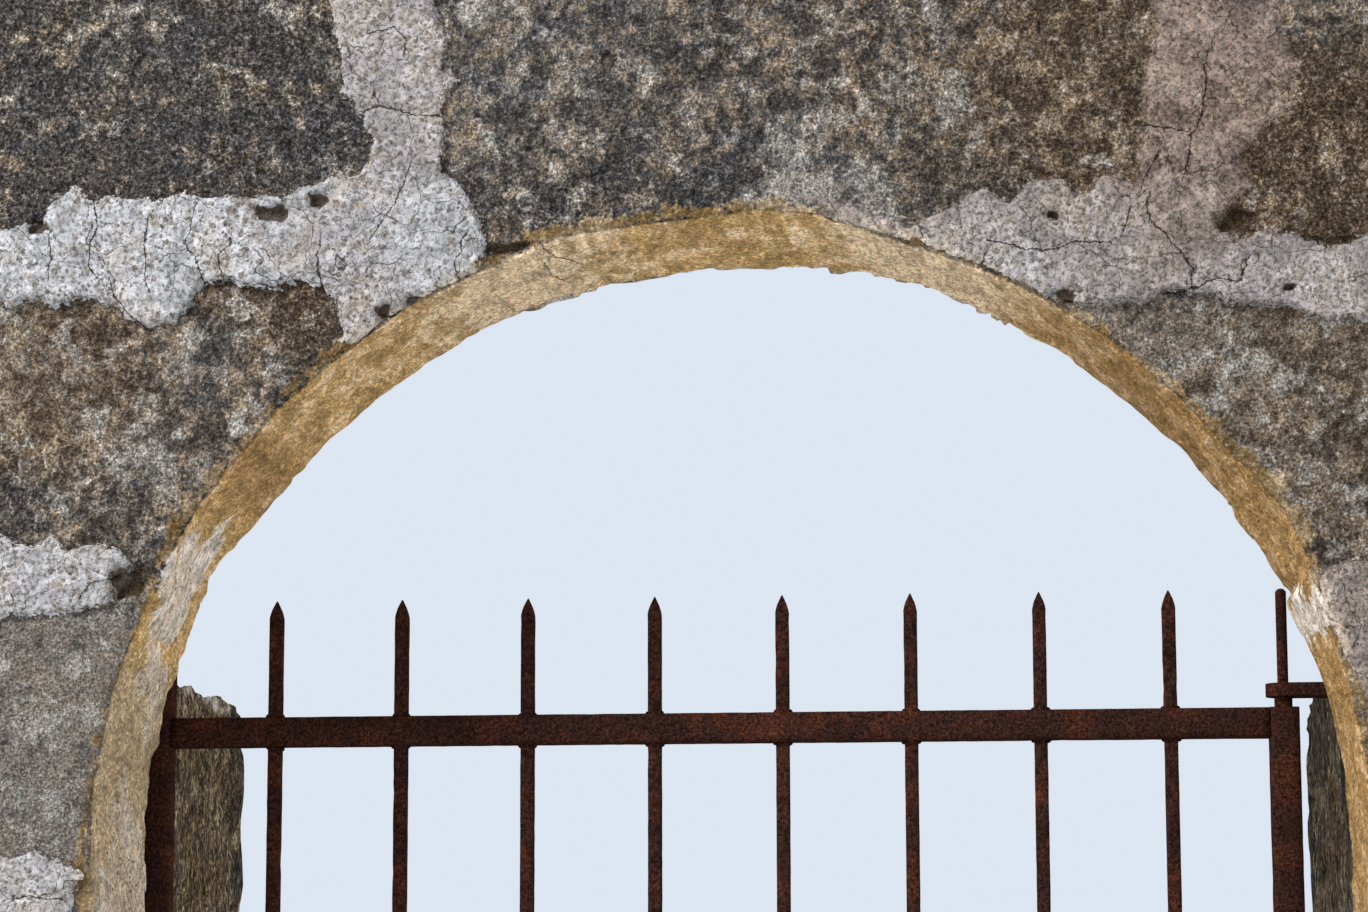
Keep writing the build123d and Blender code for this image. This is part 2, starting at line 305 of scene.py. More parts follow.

# Colours of stains, cracks, mortar beds and rust, and of painted shade and painted sunlight
# Painted shade on the right of the arch and a brown stain on the left, multiplied into the cut stone
CUT_SHADE_AND_STAIN = (0.6, 0.54, 0.48)
# Painted shade and dirt on the stone beside the lime's raised edge
LIME_EDGE_SHADE_AND_DIRT_COLOUR = (0.035, 0.022, 0.013)
CRACK_COLOUR = (0.03, 0.019, 0.012)
# Near-black painted shade in holes and open joints, flecked with paler crumbs
HOLE_SHADE_COLOUR = (0.025, 0.016, 0.01)
HOLE_CRUMB_COLOUR = (0.11, 0.075, 0.045)
PALE_RUBBLE_COLOUR = (0.15, 0.12, 0.08)
DRY_BED_COLOUR = (0.15, 0.115, 0.07)
DAMP_BED_COLOUR = (0.09, 0.066, 0.04)
# Near-black painted shade in the rubble's pits
RUBBLE_PIT_SHADE_COLOUR = (0.014, 0.01, 0.006)
# Whitewash on the right rear wall's reveal, and painted sunlight on the rubble's tops and crest
WHITEWASH_AND_SUNLIGHT_COLOUR = (0.6, 0.55, 0.49)
IRON_FLECK_COLOUR = (0.012, 0.009, 0.008)


class GatewayStoneSettings(bpy.types.PropertyGroup):
    """Sizes and colours of the masonry"""

    head_grain: FloatProperty(
        name="Head Grain", description="Width of one facet on the arch stones", default=0.0072,
        subtype="DISTANCE", unit="LENGTH")
    jamb_grain: FloatProperty(
        name="Jamb Grain", description="Width of one facet on the jambs", default=0.0105,
        subtype="DISTANCE", unit="LENGTH")
    rubble_grain: FloatProperty(
        name="Rubble Grain", description="Width of one facet on the rear walls", default=0.0125,
        subtype="DISTANCE", unit="LENGTH")
    coping_grain: FloatProperty(
        name="Coping Grain", description="Width of one facet on the coping and threshold", default=0.009,
        subtype="DISTANCE", unit="LENGTH")
    lime_proud: FloatProperty(
        name="Lime Height", description="How far the lime joints stand out from the blocks", default=0.006,
        subtype="DISTANCE", unit="LENGTH")
    arris_round: FloatProperty(
        name="Arris Rounding", description="Radius that wear has left on the blocks' edges", default=0.016,
        subtype="DISTANCE", unit="LENGTH")
    grey: FloatVectorProperty(
        name="Grey Stone", description="Weathered face of the limestone", default=(0.17, 0.15, 0.131),
        subtype="COLOR", size=3)
    slate: FloatVectorProperty(
        name="Slate Stone", description="Bluer grey patches of the limestone", default=(0.13, 0.132, 0.14),
        subtype="COLOR", size=3)
    ochre: FloatVectorProperty(
        name="Ochre Stone", description="Iron-stained patches of the limestone",
        default=(0.19, 0.135, 0.082), subtype="COLOR", size=3)
    brown_crust: FloatVectorProperty(
        name="Brown Crust", description="Dark brown crust between lumps of the stone",
        default=(0.05, 0.031, 0.018), subtype="COLOR", size=3)
    lichen: FloatVectorProperty(
        name="Lichen", description="Black crust on the weathered face", default=(0.034, 0.031, 0.03),
        subtype="COLOR", size=3)
    crust: FloatVectorProperty(
        name="Pale Crust", description="Pale lime bloom on the stone", default=(0.3, 0.285, 0.265),
        subtype="COLOR", size=3)
    lime: FloatVectorProperty(
        name="Lime", description="Bright lime mortar", default=(0.485, 0.49, 0.515), subtype="COLOR",
        size=3)
    old_lime: FloatVectorProperty(
        name="Old Lime", description="Greyer, pinkish mortar", default=(0.32, 0.232, 0.197),
        subtype="COLOR", size=3)
    lime_spot: FloatVectorProperty(
        name="Lime Spots", description="Grey lichen spots on the lime", default=(0.21, 0.185, 0.165),
        subtype="COLOR", size=3)
    lime_stain: FloatVectorProperty(
        name="Lime Stain", description="Brownish stain on the lime", default=(0.34, 0.27, 0.2),
        subtype="COLOR", size=3)
    plaster: FloatVectorProperty(
        name="Plaster", description="Cream lime wash left on the reveals", default=(0.9, 0.81, 0.7),
        subtype="COLOR", size=3)
    drip: FloatVectorProperty(
        name="Drip", description="Duller lime wash that has run down the reveals",
        default=(0.72, 0.63, 0.53), subtype="COLOR", size=3)
    tan: FloatVectorProperty(
        name="Cut Stone", description="Clean tan stone under the arch", default=(0.6, 0.392, 0.163),
        subtype="COLOR", size=3)
    dusty: FloatVectorProperty(
        name="Dusty Stone", description="Greyer cut stone low on the left reveal",
        default=(0.47, 0.365, 0.235), subtype="COLOR", size=3)
    cream: FloatVectorProperty(
        name="Cream Stone", description="Palest stone under the arch", default=(0.85, 0.66, 0.45),
        subtype="COLOR", size=3)
    # The rubble colours are the stone's brown darkened with painted shade, for the shade the rear walls stand
    # in
    rubble: FloatVectorProperty(
        name="Rubble", description="Brown rubble stone", default=(0.062, 0.04, 0.0215), subtype="COLOR",
        size=3)
    dark_rubble: FloatVectorProperty(
        name="Dark Rubble", description="Greyer rubble stone", default=(0.036, 0.028, 0.0185),
        subtype="COLOR", size=3)
    tan_rubble: FloatVectorProperty(
        name="Tan Rubble", description="Palest rubble stone", default=(0.09, 0.061, 0.03), subtype="COLOR",
        size=3)


class GatewayIronSettings(bpy.types.PropertyGroup):
    """Sizes and colours of the ironwork"""

    weld_size: FloatProperty(
        name="Weld Size", description="Radius of one weld bead", default=0.0034, subtype="DISTANCE",
        unit="LENGTH")
    weld_seed: IntProperty(name="Weld Seed", description="Turns and sizes of the weld beads", default=7)
    pitting: FloatProperty(
        name="Pitting", description="Depth that rust has eaten into the bars", default=0.0006,
        subtype="DISTANCE", unit="LENGTH")
    iron: FloatVectorProperty(
        name="Iron", description="Dark rusted iron", default=(0.035, 0.016, 0.0135), subtype="COLOR",
        size=3)
    rust: FloatVectorProperty(
        name="Rust", description="Fresh red rust", default=(0.085, 0.028, 0.015), subtype="COLOR", size=3)


class GatewayStageSettings(bpy.types.PropertyGroup):
    """Light and floor"""

    key_light: FloatProperty(
        name="Key Light", description="Power of the soft lamp", default=340.0, subtype="POWER")
    sky_light: FloatProperty(name="Sky Light", description="Strength of the even light", default=0.66)
    floor_colour: FloatVectorProperty(
        name="Floor", description="Plain pale floor", default=(0.8, 0.82, 0.84), subtype="COLOR", size=3)
    backdrop_colour: FloatVectorProperty(
        name="Backdrop", description="Plain pale surroundings", default=(0.72, 0.79, 0.88), subtype="COLOR",
        size=3)


# Numbers and places

def lattice_value(cell_x, cell_y, cell_z, seed):
    """A repeatable random number from -1 to 1 in each cell of a grid."""
    mixed = (cell_x * 73856093) ^ (cell_y * 19349663) ^ (cell_z * 83492791) ^ (seed * 26544357)
    mixed = ((mixed ^ (mixed >> 13)) * 1274126177) & 0xFFFFFFFF
    mixed = ((mixed ^ (mixed >> 15)) * 668265263) & 0xFFFFFFFF
    return ((mixed >> 8) & 0xFFFFF) / 524287.5 - 1.0


def noise(points, size, seed=0, octaves=1):
    """Smooth random values, from -1 to 1, in lumps about size metres wide."""
    total = np.zeros(len(points))
    reach = 0.0
    for octave in range(octaves):
        place = points * (2 ** octave / size) + 31.7
        cell = np.floor(place).astype(np.int64)
        part = place - cell
        part = part * part * part * (part * (part * 6 - 15) + 10)
        share = 0.5 ** octave
        for step in itertools.product((0, 1), repeat=3):
            weight = np.full(len(points), share)
            for axis in range(3):
                weight *= part[:, axis] if step[axis] else 1 - part[:, axis]
            corner = lattice_value(*(cell[:, axis] + step[axis] for axis in range(3)), seed + 11 * octave)
            total += weight * corner
        reach += share
    return total / reach


def ease(values, low, high):
    """Smooth step from 0 at low to 1 at high."""
    share = np.clip((values - low) / (high - low), 0, 1)
    return share * share * (3 - 2 * share)


def camera_axes():
    """The photograph's right, up and forward directions."""
    forward = np.array((
        -math.sin(CAMERA_YAW) * math.cos(CAMERA_PITCH),
        math.cos(CAMERA_YAW) * math.cos(CAMERA_PITCH),
        math.sin(CAMERA_PITCH)))
    level = np.array((math.cos(CAMERA_YAW), math.sin(CAMERA_YAW), 0.0))
    upright = np.cross(level, forward)
    right = level * math.cos(CAMERA_ROLL) + upright * math.sin(CAMERA_ROLL)
    up = upright * math.cos(CAMERA_ROLL) - level * math.sin(CAMERA_ROLL)
    return right, up, forward


def sight_lines(pixels):
    """Directions from the camera through pixels of the photograph."""
    right, up, forward = camera_axes()
    u = (np.array(pixels, float)[:, 0] - PHOTO_WIDTH / 2) / FOCAL_PIXELS
    v = (np.array(pixels, float)[:, 1] - PHOTO_HEIGHT / 2) / FOCAL_PIXELS
    return forward + np.outer(u, right) - np.outer(v, up)


def seen_on_plane(pixels, plane_y):
    """Points of the plane y = plane_y behind pixels of the photograph."""
    lines = sight_lines(pixels)
    reach = (plane_y - CAMERA_PLACE[1]) / lines[:, 1]
    return CAMERA_PLACE + lines * reach[:, None]


def seen_on_side(pixels, plane_x):
    """Points of the plane x = plane_x behind pixels of the photograph."""
    lines = sight_lines(pixels)
    reach = (plane_x - CAMERA_PLACE[0]) / lines[:, 0]
    return CAMERA_PLACE + lines * reach[:, None]


def seen_on_soffit(pixels):
    """Unrolled places (distance round the arch, depth) on the soffit or reveal behind pixels."""
    lines = sight_lines(pixels)
    start = CAMERA_PLACE - (0, 0, SPRINGING)
    a = lines[:, 0] ** 2 + lines[:, 2] ** 2
    b = lines[:, 0] * start[0] + lines[:, 2] * start[2]
    c = start[0] ** 2 + start[2] ** 2 - HALF_OPENING ** 2
    reach = (np.sqrt(b * b - a * c) - b) / a
    found = CAMERA_PLACE + lines * reach[:, None]
    low = found[:, 2] < SPRINGING
    side = np.sign(found[:, 0]) * HALF_OPENING
    straight = CAMERA_PLACE + lines * ((side - CAMERA_PLACE[0]) / lines[:, 0])[:, None]
    found[low] = straight[low]
    return unrolled(found)


def around(points):
    """Place round the opening's edge, in metres from the crown, positive to the right."""
    height = points[:, 2] - SPRINGING
    angle = np.arctan2(points[:, 0], np.maximum(height, 0))
    return HALF_OPENING * angle - np.sign(points[:, 0]) * np.minimum(height, 0)


def unrolled(points):
    """The soffit laid flat: distance round the arch, and depth into the wall."""
    return np.stack((around(points), points[:, 1]), axis=1)


def away_from_opening(points):
    """Distance from the opening's surface into the stone, and the direction that it grows in."""
    height = np.maximum(points[:, 2] - SPRINGING, 0)
    reach = np.hypot(points[:, 0], height)
    direction = np.zeros_like(points)
    direction[:, 0] = points[:, 0] / np.maximum(reach, 1e-6)
    direction[:, 2] = height / np.maximum(reach, 1e-6)
    return reach - HALF_OPENING, direction


def path_distance(points, path, closed):
    """Distance to a path, and its sign by the side of the nearest run; a closed path is positive inside."""
    best = np.full(len(points), np.inf)
    side = np.ones(len(points))
    inside = np.zeros(len(points), bool)
    ends = np.roll(path, -1, axis=0) if closed else path[1:]
    for start, end in zip(path, ends):
        run = end - start
        off = points - start
        share = np.clip(off @ run / (run @ run), 0, 1)
        gap = np.hypot(off[:, 0] - share * run[0], off[:, 1] - share * run[1])
        turn = np.sign(run[0] * off[:, 1] - run[1] * off[:, 0])
        nearer = gap < best
        best = np.where(nearer, gap, best)
        side = np.where(nearer, turn, side)
        if closed:
            spans = (start[1] > points[:, 1]) != (end[1] > points[:, 1])
            rise = run[1] if run[1] else 1e-12
            inside ^= spans & (points[:, 0] < start[0] + off[:, 1] * run[0] / rise)
    if closed:
        side = np.where(inside, 1, -1)
    return best, side


# Mesh helpers

def get_points(mesh):
    """The mesh's points, one row each."""
    flat = np.empty(len(mesh.vertices) * 3, np.float32)
    mesh.vertices.foreach_get("co", flat)
    return flat.reshape(-1, 3).astype(float)


def set_points(mesh, points):
    mesh.vertices.foreach_set("co", points.astype(np.float32).ravel())
    mesh.update()


def get_normals(mesh):
    """The normals at the mesh's points, one row each."""
    flat = np.empty(len(mesh.vertices) * 3, np.float32)
    mesh.vertex_normals.foreach_get("vector", flat)
    return flat.reshape(-1, 3).astype(float)


def set_attribute(mesh, name, values):
    """Keeps one number, or one place, for each vertex."""
    values = np.asarray(values, np.float32)
    kind, field = ("FLOAT_VECTOR", "vector") if values.ndim == 2 else ("FLOAT", "value")
    attribute = mesh.attributes.get(name) or mesh.attributes.new(name, kind, "POINT")
    attribute.data.foreach_set(field, values.ravel())


def new_object(name, mesh):
    piece = bpy.data.objects.new(name, mesh)
    bpy.context.scene.collection.objects.link(piece)
    return piece


def mesh_from_bmesh(name, bm):
    mesh = bpy.data.meshes.new(name)
    bm.to_mesh(mesh)
    bm.free()
    return mesh


def applied(piece, name):
    """The evaluated mesh of a piece as a plain mesh; the piece is deleted."""
    bpy.context.view_layer.update()
    graph = bpy.context.evaluated_depsgraph_get()
    mesh = bpy.data.meshes.new_from_object(piece.evaluated_get(graph))
    mesh.name = name
    old = piece.data
    bpy.data.objects.remove(piece)
    bpy.data.meshes.remove(old)
    return mesh


def remeshed(mesh, grain):
    """An even skin of small facets over a closed mesh."""
    piece = new_object("blank", mesh)
    modifier = piece.modifiers.new("Remesh", "REMESH")
    modifier.mode = "VOXEL"
    modifier.voxel_size = grain * 1.0
    modifier.use_smooth_shade = True
    return applied(piece, "stone")


def node_copy(*names):
    """One mesh of copies of CAD nodes, with their loose triangles merged."""
    bm = bmesh.new()
    for name in names:
        bm.from_mesh(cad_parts[name].data)
    bmesh.ops.remove_doubles(bm, verts=bm.verts, dist=1e-5)
    return mesh_from_bmesh("copy", bm)


def prism(outline, front, back):
    """A closed solid with an outline in x and z, from front to back along y."""
    bm = bmesh.new()
    near = [bm.verts.new((x, front, z)) for x, z in outline]
    far = [bm.verts.new((x, back, z)) for x, z in outline]
    bm.faces.new(near)
    bm.faces.new(list(reversed(far)))
    for index in range(len(outline)):
        after = (index + 1) % len(outline)
        bm.faces.new((near[index], far[index], far[after], near[after]))
    bmesh.ops.recalc_face_normals(bm, faces=bm.faces)
    return mesh_from_bmesh("prism", bm)


def refined(mesh, wanted):
    """The mesh with each facet split in four where wanted(middles, normals) is true."""
    bm = bmesh.new()
    bm.from_mesh(mesh)
    middles = np.array([face.calc_center_median() for face in bm.faces])
    normals = np.array([face.normal for face in bm.faces])
    chosen = wanted(middles, normals)
    edges = {edge for face, pick in zip(bm.faces, chosen) if pick for edge in face.edges}
    edges = sorted(edges, key=lambda edge: edge.index)
    bmesh.ops.subdivide_edges(bm, edges=edges, cuts=1, use_grid_fill=True)
    for face in bm.faces:
        face.smooth = True
    bpy.data.meshes.remove(mesh)
    return mesh_from_bmesh("stone", bm)


def cut_between(mesh, name, planes):
    """What is left of a closed mesh inside planes, each (point, outward normal), with flat caps."""
    bm = bmesh.new()
    bm.from_mesh(mesh)
    for point, normal in planes:
        geometry = list(bm.verts) + list(bm.edges) + list(bm.faces)
        cut = bmesh.ops.bisect_plane(
            bm, geom=geometry, dist=1e-5, plane_co=point, plane_no=normal, clear_outer=True)
        cut_edges = [item for item in cut["geom_cut"] if isinstance(item, bmesh.types.BMEdge)]
        rim = [edge for edge in cut_edges if edge.is_boundary]
        caps = bmesh.ops.holes_fill(bm, edges=rim, sides=0)["faces"]
        for cap in caps:
            cap.smooth = False
            for edge in cap.edges:
                edge.smooth = False
        bmesh.ops.triangulate(bm, faces=caps)
    bmesh.ops.recalc_face_normals(bm, faces=bm.faces)
    return mesh_from_bmesh(name, bm)


def finished(name, mesh, body, slot, material, *replaced):
    """A piece with its material, riding on its body in place of the CAD nodes that it stands for."""
    mesh.name = name
    mesh.materials.clear()
    mesh.materials.append(material)
    piece = new_object(name + "_dressed", mesh)
    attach(piece, body)
    if replaced:
        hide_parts(*replaced)


# Materials

class Shader:
    """A material's node tree, written as nested calls."""

    def __init__(self, name):
        self.material = bpy.data.materials.new(name)
        self.material.use_nodes = True
        self.tree = self.material.node_tree
        self.surface = self.tree.nodes["Principled BSDF"]
        self.place = self.add("ShaderNodeTexCoord").outputs["Object"]

    def add(self, kind, sockets=None, **settings):
        node = self.tree.nodes.new(kind)
        for key, value in settings.items():
            setattr(node, key, value)
        for key, value in (sockets or {}).items():
            self.put(node.inputs[key], value)
        return node

    def put(self, socket, value):
        if isinstance(value, bpy.types.NodeSocket):
            self.tree.links.new(value, socket)
        elif isinstance(value, (tuple, list)) or hasattr(value, "hsv"):
            socket.default_value = tuple(value)[:3] + (1.0,)
        else:
            socket.default_value = value

    def read(self, name):
        return self.add("ShaderNodeAttribute", attribute_name=name).outputs["Fac"]

    def math(self, operation, first, second=0.0):
        return self.add("ShaderNodeMath", {0: first, 1: second}, operation=operation).outputs[0]

    def plus(self, first, second):
        return self.math("ADD", first, second)

    def minus(self, first, second):
        return self.math("SUBTRACT", first, second)

    def times(self, first, second):
        return self.math("MULTIPLY", first, second)

    def centred(self, value, reach):
        """A noise brought down to swing about 0, by reach from its lowest to its highest."""
        return self.times(self.minus(value, 0.5), reach)

    def noise(self, size, detail=3.0, roughness=0.55, stretch=None, warp=0.0, place=None):
        place = place or self.place
        if stretch:
            scaled = self.add("ShaderNodeMapping", vector_type="POINT")
            scaled.inputs["Scale"].default_value = stretch
            self.put(scaled.inputs["Vector"], place)
            place = scaled.outputs[0]
        sockets = {"Vector": place, "Scale": 1.0 / size, "Detail": detail, "Roughness": roughness}
        sockets["Distortion"] = warp
        return self.add("ShaderNodeTexNoise", sockets).outputs["Fac"]

    def cells(self, size, feature, place=None):
        sockets = {"Vector": place or self.place, "Scale": 1.0 / size}
        return self.add("ShaderNodeTexVoronoi", sockets, feature=feature).outputs["Distance"]

    def dots(self, size, radius, scarcity, place):
        """1 inside round dots about size apart, 0 outside; the scarcer, the more cells stay empty."""
        sockets = {"Vector": place, "Scale": 1.0 / size}
        cell = self.add("ShaderNodeTexVoronoi", sockets, feature="F1")
        inside = self.step(cell.outputs["Distance"], radius * 0.82, radius, 1.0, 0.0)
        return self.times(inside, self.step(cell.outputs["Color"], scarcity, scarcity + 0.04))

    def step(self, value, low, high, start=0.0, end=1.0):
        sockets = {"Value": value, "From Min": low, "From Max": high, "To Min": start, "To Max": end}
        return self.add("ShaderNodeMapRange", sockets, interpolation_type="SMOOTHSTEP").outputs["Result"]

    def speckle(self, value, strength):
        """A factor about 1, above it where the noise is over its middle, and at most 1.9."""
        return self.math("MINIMUM", self.math("EXPONENT", self.centred(value, strength)), 1.9)

    def mix(self, share, first, second, blend="MIX"):
        node = self.add("ShaderNodeMix", data_type="RGBA", blend_type=blend)
        self.put(node.inputs[0], share)
        self.put(node.inputs[6], first)
        self.put(node.inputs[7], second)
        return node.outputs[2]

    def shaded(self, colour, factor, share=1.0):
        """The colour times a factor, or a share of the way there."""
        return self.mix(share, colour, factor, "MULTIPLY")

    def wobbled(self, size, amount):
        """Object coordinates pushed about by noise."""
        shift = self.add("ShaderNodeTexNoise", {"Vector": self.place, "Scale": 1.0 / size, "Detail": 2.0})
        centred = self.add("ShaderNodeVectorMath", {0: shift.outputs["Color"]}, operation="SUBTRACT")
        centred.inputs[1].default_value = (0.5, 0.5, 0.5)
        scaled = self.add("ShaderNodeVectorMath", {0: centred.outputs[0]}, operation="SCALE")
        scaled.inputs["Scale"].default_value = amount
        return self.add("ShaderNodeVectorMath", {0: self.place, 1: scaled.outputs[0]}).outputs[0]

    def finish(self, colour, roughness, height, depth, shine=0.06):
        bump = self.add("ShaderNodeBump", {"Height": height, "Distance": depth, "Strength": 1.0})
        self.put(self.surface.inputs["Base Color"], colour)
        self.put(self.surface.inputs["Roughness"], roughness)
        self.put(self.surface.inputs["Specular IOR Level"], shine)
        self.put(self.surface.inputs["Normal"], bump.outputs[0])
        return self.material


def limestone_noise(s):
    """The noise and places that the limestone's layers share, from hand-wide patches to dust."""
    n = SimpleNamespace()
    n.cut = s.read("cut_stone")
    n.under = s.step(n.cut, 0.3, 0.8)
    n.old = s.read("old_lime")
    n.large = s.noise(0.06, 3.0, 0.6)
    n.patch = s.noise(0.036, 5.0, 0.7, warp=0.5)
    n.middle = s.noise(0.016, 3.0, 0.65)
    n.clump = s.noise(0.0125, 2.5, 0.55, warp=0.6)
    n.grain = s.noise(0.0062, 3.0, 0.9)
    n.speck = s.noise(0.004, 1.0, 0.9)
    n.dust = s.noise(0.0026, 1.0, 0.9)
    n.ragged = s.minus(n.middle, 0.5)
    coarse = s.plus(s.times(n.large, 0.5), s.times(n.middle, 0.5))
    n.blotch = s.plus(s.times(coarse, 0.65), s.times(n.patch, 0.35))
    n.arch_place = s.add("ShaderNodeAttribute", attribute_name="along_arch").outputs["Vector"]
    n.streak = s.noise(0.022, 2.5, 0.62, stretch=(0.5, 0.45, 1.0), warp=0.6, place=n.arch_place)
    n.tooled = s.noise(0.024, 5.0, 0.68, stretch=(1.0, 0.32, 1.0), warp=0.4, place=n.arch_place)
    return n


def weathered_face(s, n, stone):
    """Grey, slate and ochre stone under pale and dark crusts, lighter in each lump's middle and darker at its
    edges as painted light and shade; also gives the share of pale crust.
    """
    lively = s.step(s.read("lichen"), 0.0, 0.4, 0.3, 1.0)
    bright = s.plus(s.times(n.grain, 0.6), s.times(n.speck, 0.4))
    ochre_place = s.plus(s.plus(n.blotch, s.centred(n.clump, 0.3)), s.times(s.read("ochre"), 0.15))
    warm_share = s.step(ochre_place, 0.475, 0.625, 0.0, 0.95)
    warm_share = s.times(warm_share, s.step(bright, 0.44, 0.6, 1.0, 0.4))
    slate_share = s.step(s.noise(0.045, 4.0, 0.7), 0.46, 0.58, 0.0, 0.85)
    pale_share = s.step(s.noise(0.03, 3.5, 0.62, warp=0.4), 0.56, 0.66, 0.0, 0.6)
    face = s.mix(s.times(slate_share, lively), stone.grey, stone.slate)
    face = s.mix(s.times(warm_share, lively), face, stone.ochre)
    face = s.mix(s.times(pale_share, lively), face, stone.crust)
    # Painted light and shade: each lump is lighter in its middle and darker towards its edges
    lump_light_and_shade = s.step(s.cells(0.024, "F1", s.wobbled(0.016, 0.024)), 0.15, 0.72, 1.0, 0.0)
    face = s.shaded(face, s.step(n.blotch, 0.38, 0.62, 0.86, 1.14), lively)
    face = s.shaded(face, s.step(lump_light_and_shade, 0.0, 1.0, 0.78, 1.18), lively)
    crust_share = s.step(s.plus(n.patch, s.times(s.read("crust"), 0.15)), 0.58, 0.65, 0.0, 0.7)
    face = s.mix(crust_share, face, stone.crust)
    dark_place = s.minus(s.times(s.read("lichen"), 0.16), n.blotch)
    dark_place = s.plus(dark_place, s.centred(n.grain, 0.12))
    dark_place = s.minus(dark_place, s.centred(n.clump, 0.34))
    dark_place = s.minus(dark_place, s.centred(lump_light_and_shade, 0.05))
    dark = s.mix(s.step(s.read("ochre"), 0.2, 0.7), stone.lichen, stone.brown_crust)
    face = s.mix(s.step(dark_place, -0.51, -0.33, 0.0, 0.8), face, dark)
    crusted = s.times(s.read("lichen"), 3.0)
    face = s.shaded(face, s.speckle(n.clump, 1.3), lively)
    face = s.shaded(face, s.speckle(n.grain, s.plus(crusted, 0.9)))
    face = s.shaded(face, s.speckle(n.speck, s.plus(crusted, 1.0)))
    face = s.shaded(face, s.speckle(n.dust, 4.0))
    fleck = s.step(bright, 0.55, 0.66, 0.0, 0.45)
    return s.mix(s.times(fleck, lively), face, stone.crust), crust_share


def cut_face(s, n, stone):
    """Clean tan stone under the arch, tooled in streaks from front to back, with painted shade on its front
    rim, on the jambs' reveals and on the right of the arch, and a brown stain on the left.
    """
    tooled_fine = s.noise(0.006, 2.0, 0.8, stretch=(1.0, 0.3, 1.0), place=n.arch_place)
    cream_place = s.plus(s.times(n.large, 0.2), s.times(n.tooled, 0.4))
    cream_place = s.plus(s.times(n.streak, 0.4), cream_place)
    cream_place = s.plus(s.times(s.read("crust"), 0.2), cream_place)
    tan = s.mix(s.step(cream_place, 0.48, 0.66, 0.0, 0.85), stone.tan, stone.cream)
    tan = s.mix(s.step(s.read("ochre"), -0.7, 0.0, 0.85, 0.0), tan, stone.dusty)
    tan = s.shaded(tan, s.step(n.streak, 0.36, 0.6, 0.9, 1.06))
    tan = s.shaded(tan, s.step(n.tooled, 0.36, 0.6, 0.74, 1.16))
    tan = s.shaded(tan, s.speckle(tooled_fine, 1.8))
    tan = s.shaded(tan, s.speckle(n.speck, 2.4))
    tan = s.shaded(tan, s.speckle(n.dust, 1.5))
    # The ochre mark on the reveals darkens the cut stone: painted shade on the right of the arch, a brown
    # stain on the left
    tan = s.shaded(tan, CUT_SHADE_AND_STAIN, s.times(s.read("ochre"), n.under))
    # Painted shade: the cut stone darkens where its mark falls below 1, most on the front rim, which faces
    # the lamp
    return s.shaded(tan, s.step(n.cut, 0.65, 1.0, 0.42, 1.0))


def lime_extent(s, n):
    """How far inside the lime's tattered edge a point is, and the share of lime there."""
    tatter = s.centred(s.noise(0.009, 3.0, 0.75), 0.026)
    drawn_out = s.times(s.times(s.minus(n.streak, 0.5), n.under), 0.1)
    edge = s.plus(s.plus(s.read("lime_edge"), tatter), drawn_out)
    fade = s.times(s.minus(n.old, 0.5), s.step(n.under, 0.0, 1.0, 0.008, 0.0))
    fade = s.math("MAXIMUM", fade, 0.0)
    return edge, s.step(edge, s.minus(-0.0003, fade), s.plus(0.0009, fade))


def mortar_face(s, n, stone, face, tan):
    """Stained lime with grey spots, worn through to what is behind it where it is old."""
    mortar = s.mix(n.old, stone.lime, stone.old_lime)
    mortar = s.mix(n.under, mortar, s.mix(n.old, stone.plaster, stone.drip))
    mortar = s.shaded(mortar, s.step(n.blotch, 0.4, 0.62, 0.72, 1.16))
    mortar = s.mix(s.step(n.large, 0.5, 0.66, 0.0, 0.4), mortar, stone.lime_stain)
    stained = s.plus(s.times(n.patch, 0.6), s.times(n.clump, 0.4))
    mortar = s.mix(s.step(stained, 0.53, 0.62, 0.0, 0.6), mortar, stone.lime_stain)
    mortar = s.shaded(mortar, s.step(n.clump, 0.4, 0.6, 1.2, 0.9))
    near_cells = s.wobbled(0.0055, 0.0065)
    spot = s.math("MAXIMUM", s.dots(0.0105, 0.36, 0.44, near_cells), s.dots(0.0058, 0.38, 0.42, near_cells))
    spot = s.times(spot, s.step(n.patch, 0.4, 0.54, 0.45, 0.95))
    spot = s.times(spot, s.step(n.under, 0.0, 1.0, 1.0, 0.1))
    mortar = s.mix(spot, mortar, stone.lime_spot)
    mortar = s.mix(s.times(n.old, s.step(n.patch, 0.42, 0.6, 0.6, 0.0)), mortar, face)
    mortar = s.shaded(mortar, s.step(n.grain, 0.36, 0.56, 0.7, 1.1))
    mortar = s.shaded(mortar, s.step(n.speck, 0.3, 0.52, 0.5, 1.08))
    return s.mix(s.times(n.under, s.step(n.streak, 0.4, 0.58, 0.3, 0.0)), mortar, tan)


def lime_edge_shade_and_dirt(s, n, edge, lime_share):
    """How dark the stone is close to the lime's raised edge: painted shade under its lip, and dirt."""
    below = s.times(s.step(edge, -0.004, -0.0004), s.minus(1.0, lime_share))
    below = s.times(below, s.step(n.under, 0.0, 1.0, 0.6, 0.0))
    return s.times(below, s.step(n.old, 0.1, 0.6, 1.0, 0.1))


def crack_shares(s, n, lime_share):
    """The shares of the long cracks, and of the hair cracks in the lime."""
    shaken = s.centred(s.noise(0.006, 2.0, 0.7), 0.006)
    gap = s.math("ABSOLUTE", s.plus(s.read("crack_side"), shaken))
    gap = s.plus(gap, s.step(n.grain, 0.36, 0.6, 0.0, 0.0005))
    crack = s.times(s.step(gap, 0.0002, 0.0012, 0.95, 0.0), s.step(s.read("crack_near"), 0.25, 0.5))
    web = s.cells(0.048, "DISTANCE_TO_EDGE", s.wobbled(0.018, 0.016))
    hair = s.times(s.step(web, 0.003, 0.013, 0.8, 0.0), s.step(n.patch, 0.5, 0.56, 1.0, 0.0))
    return crack, s.times(hair, lime_share)


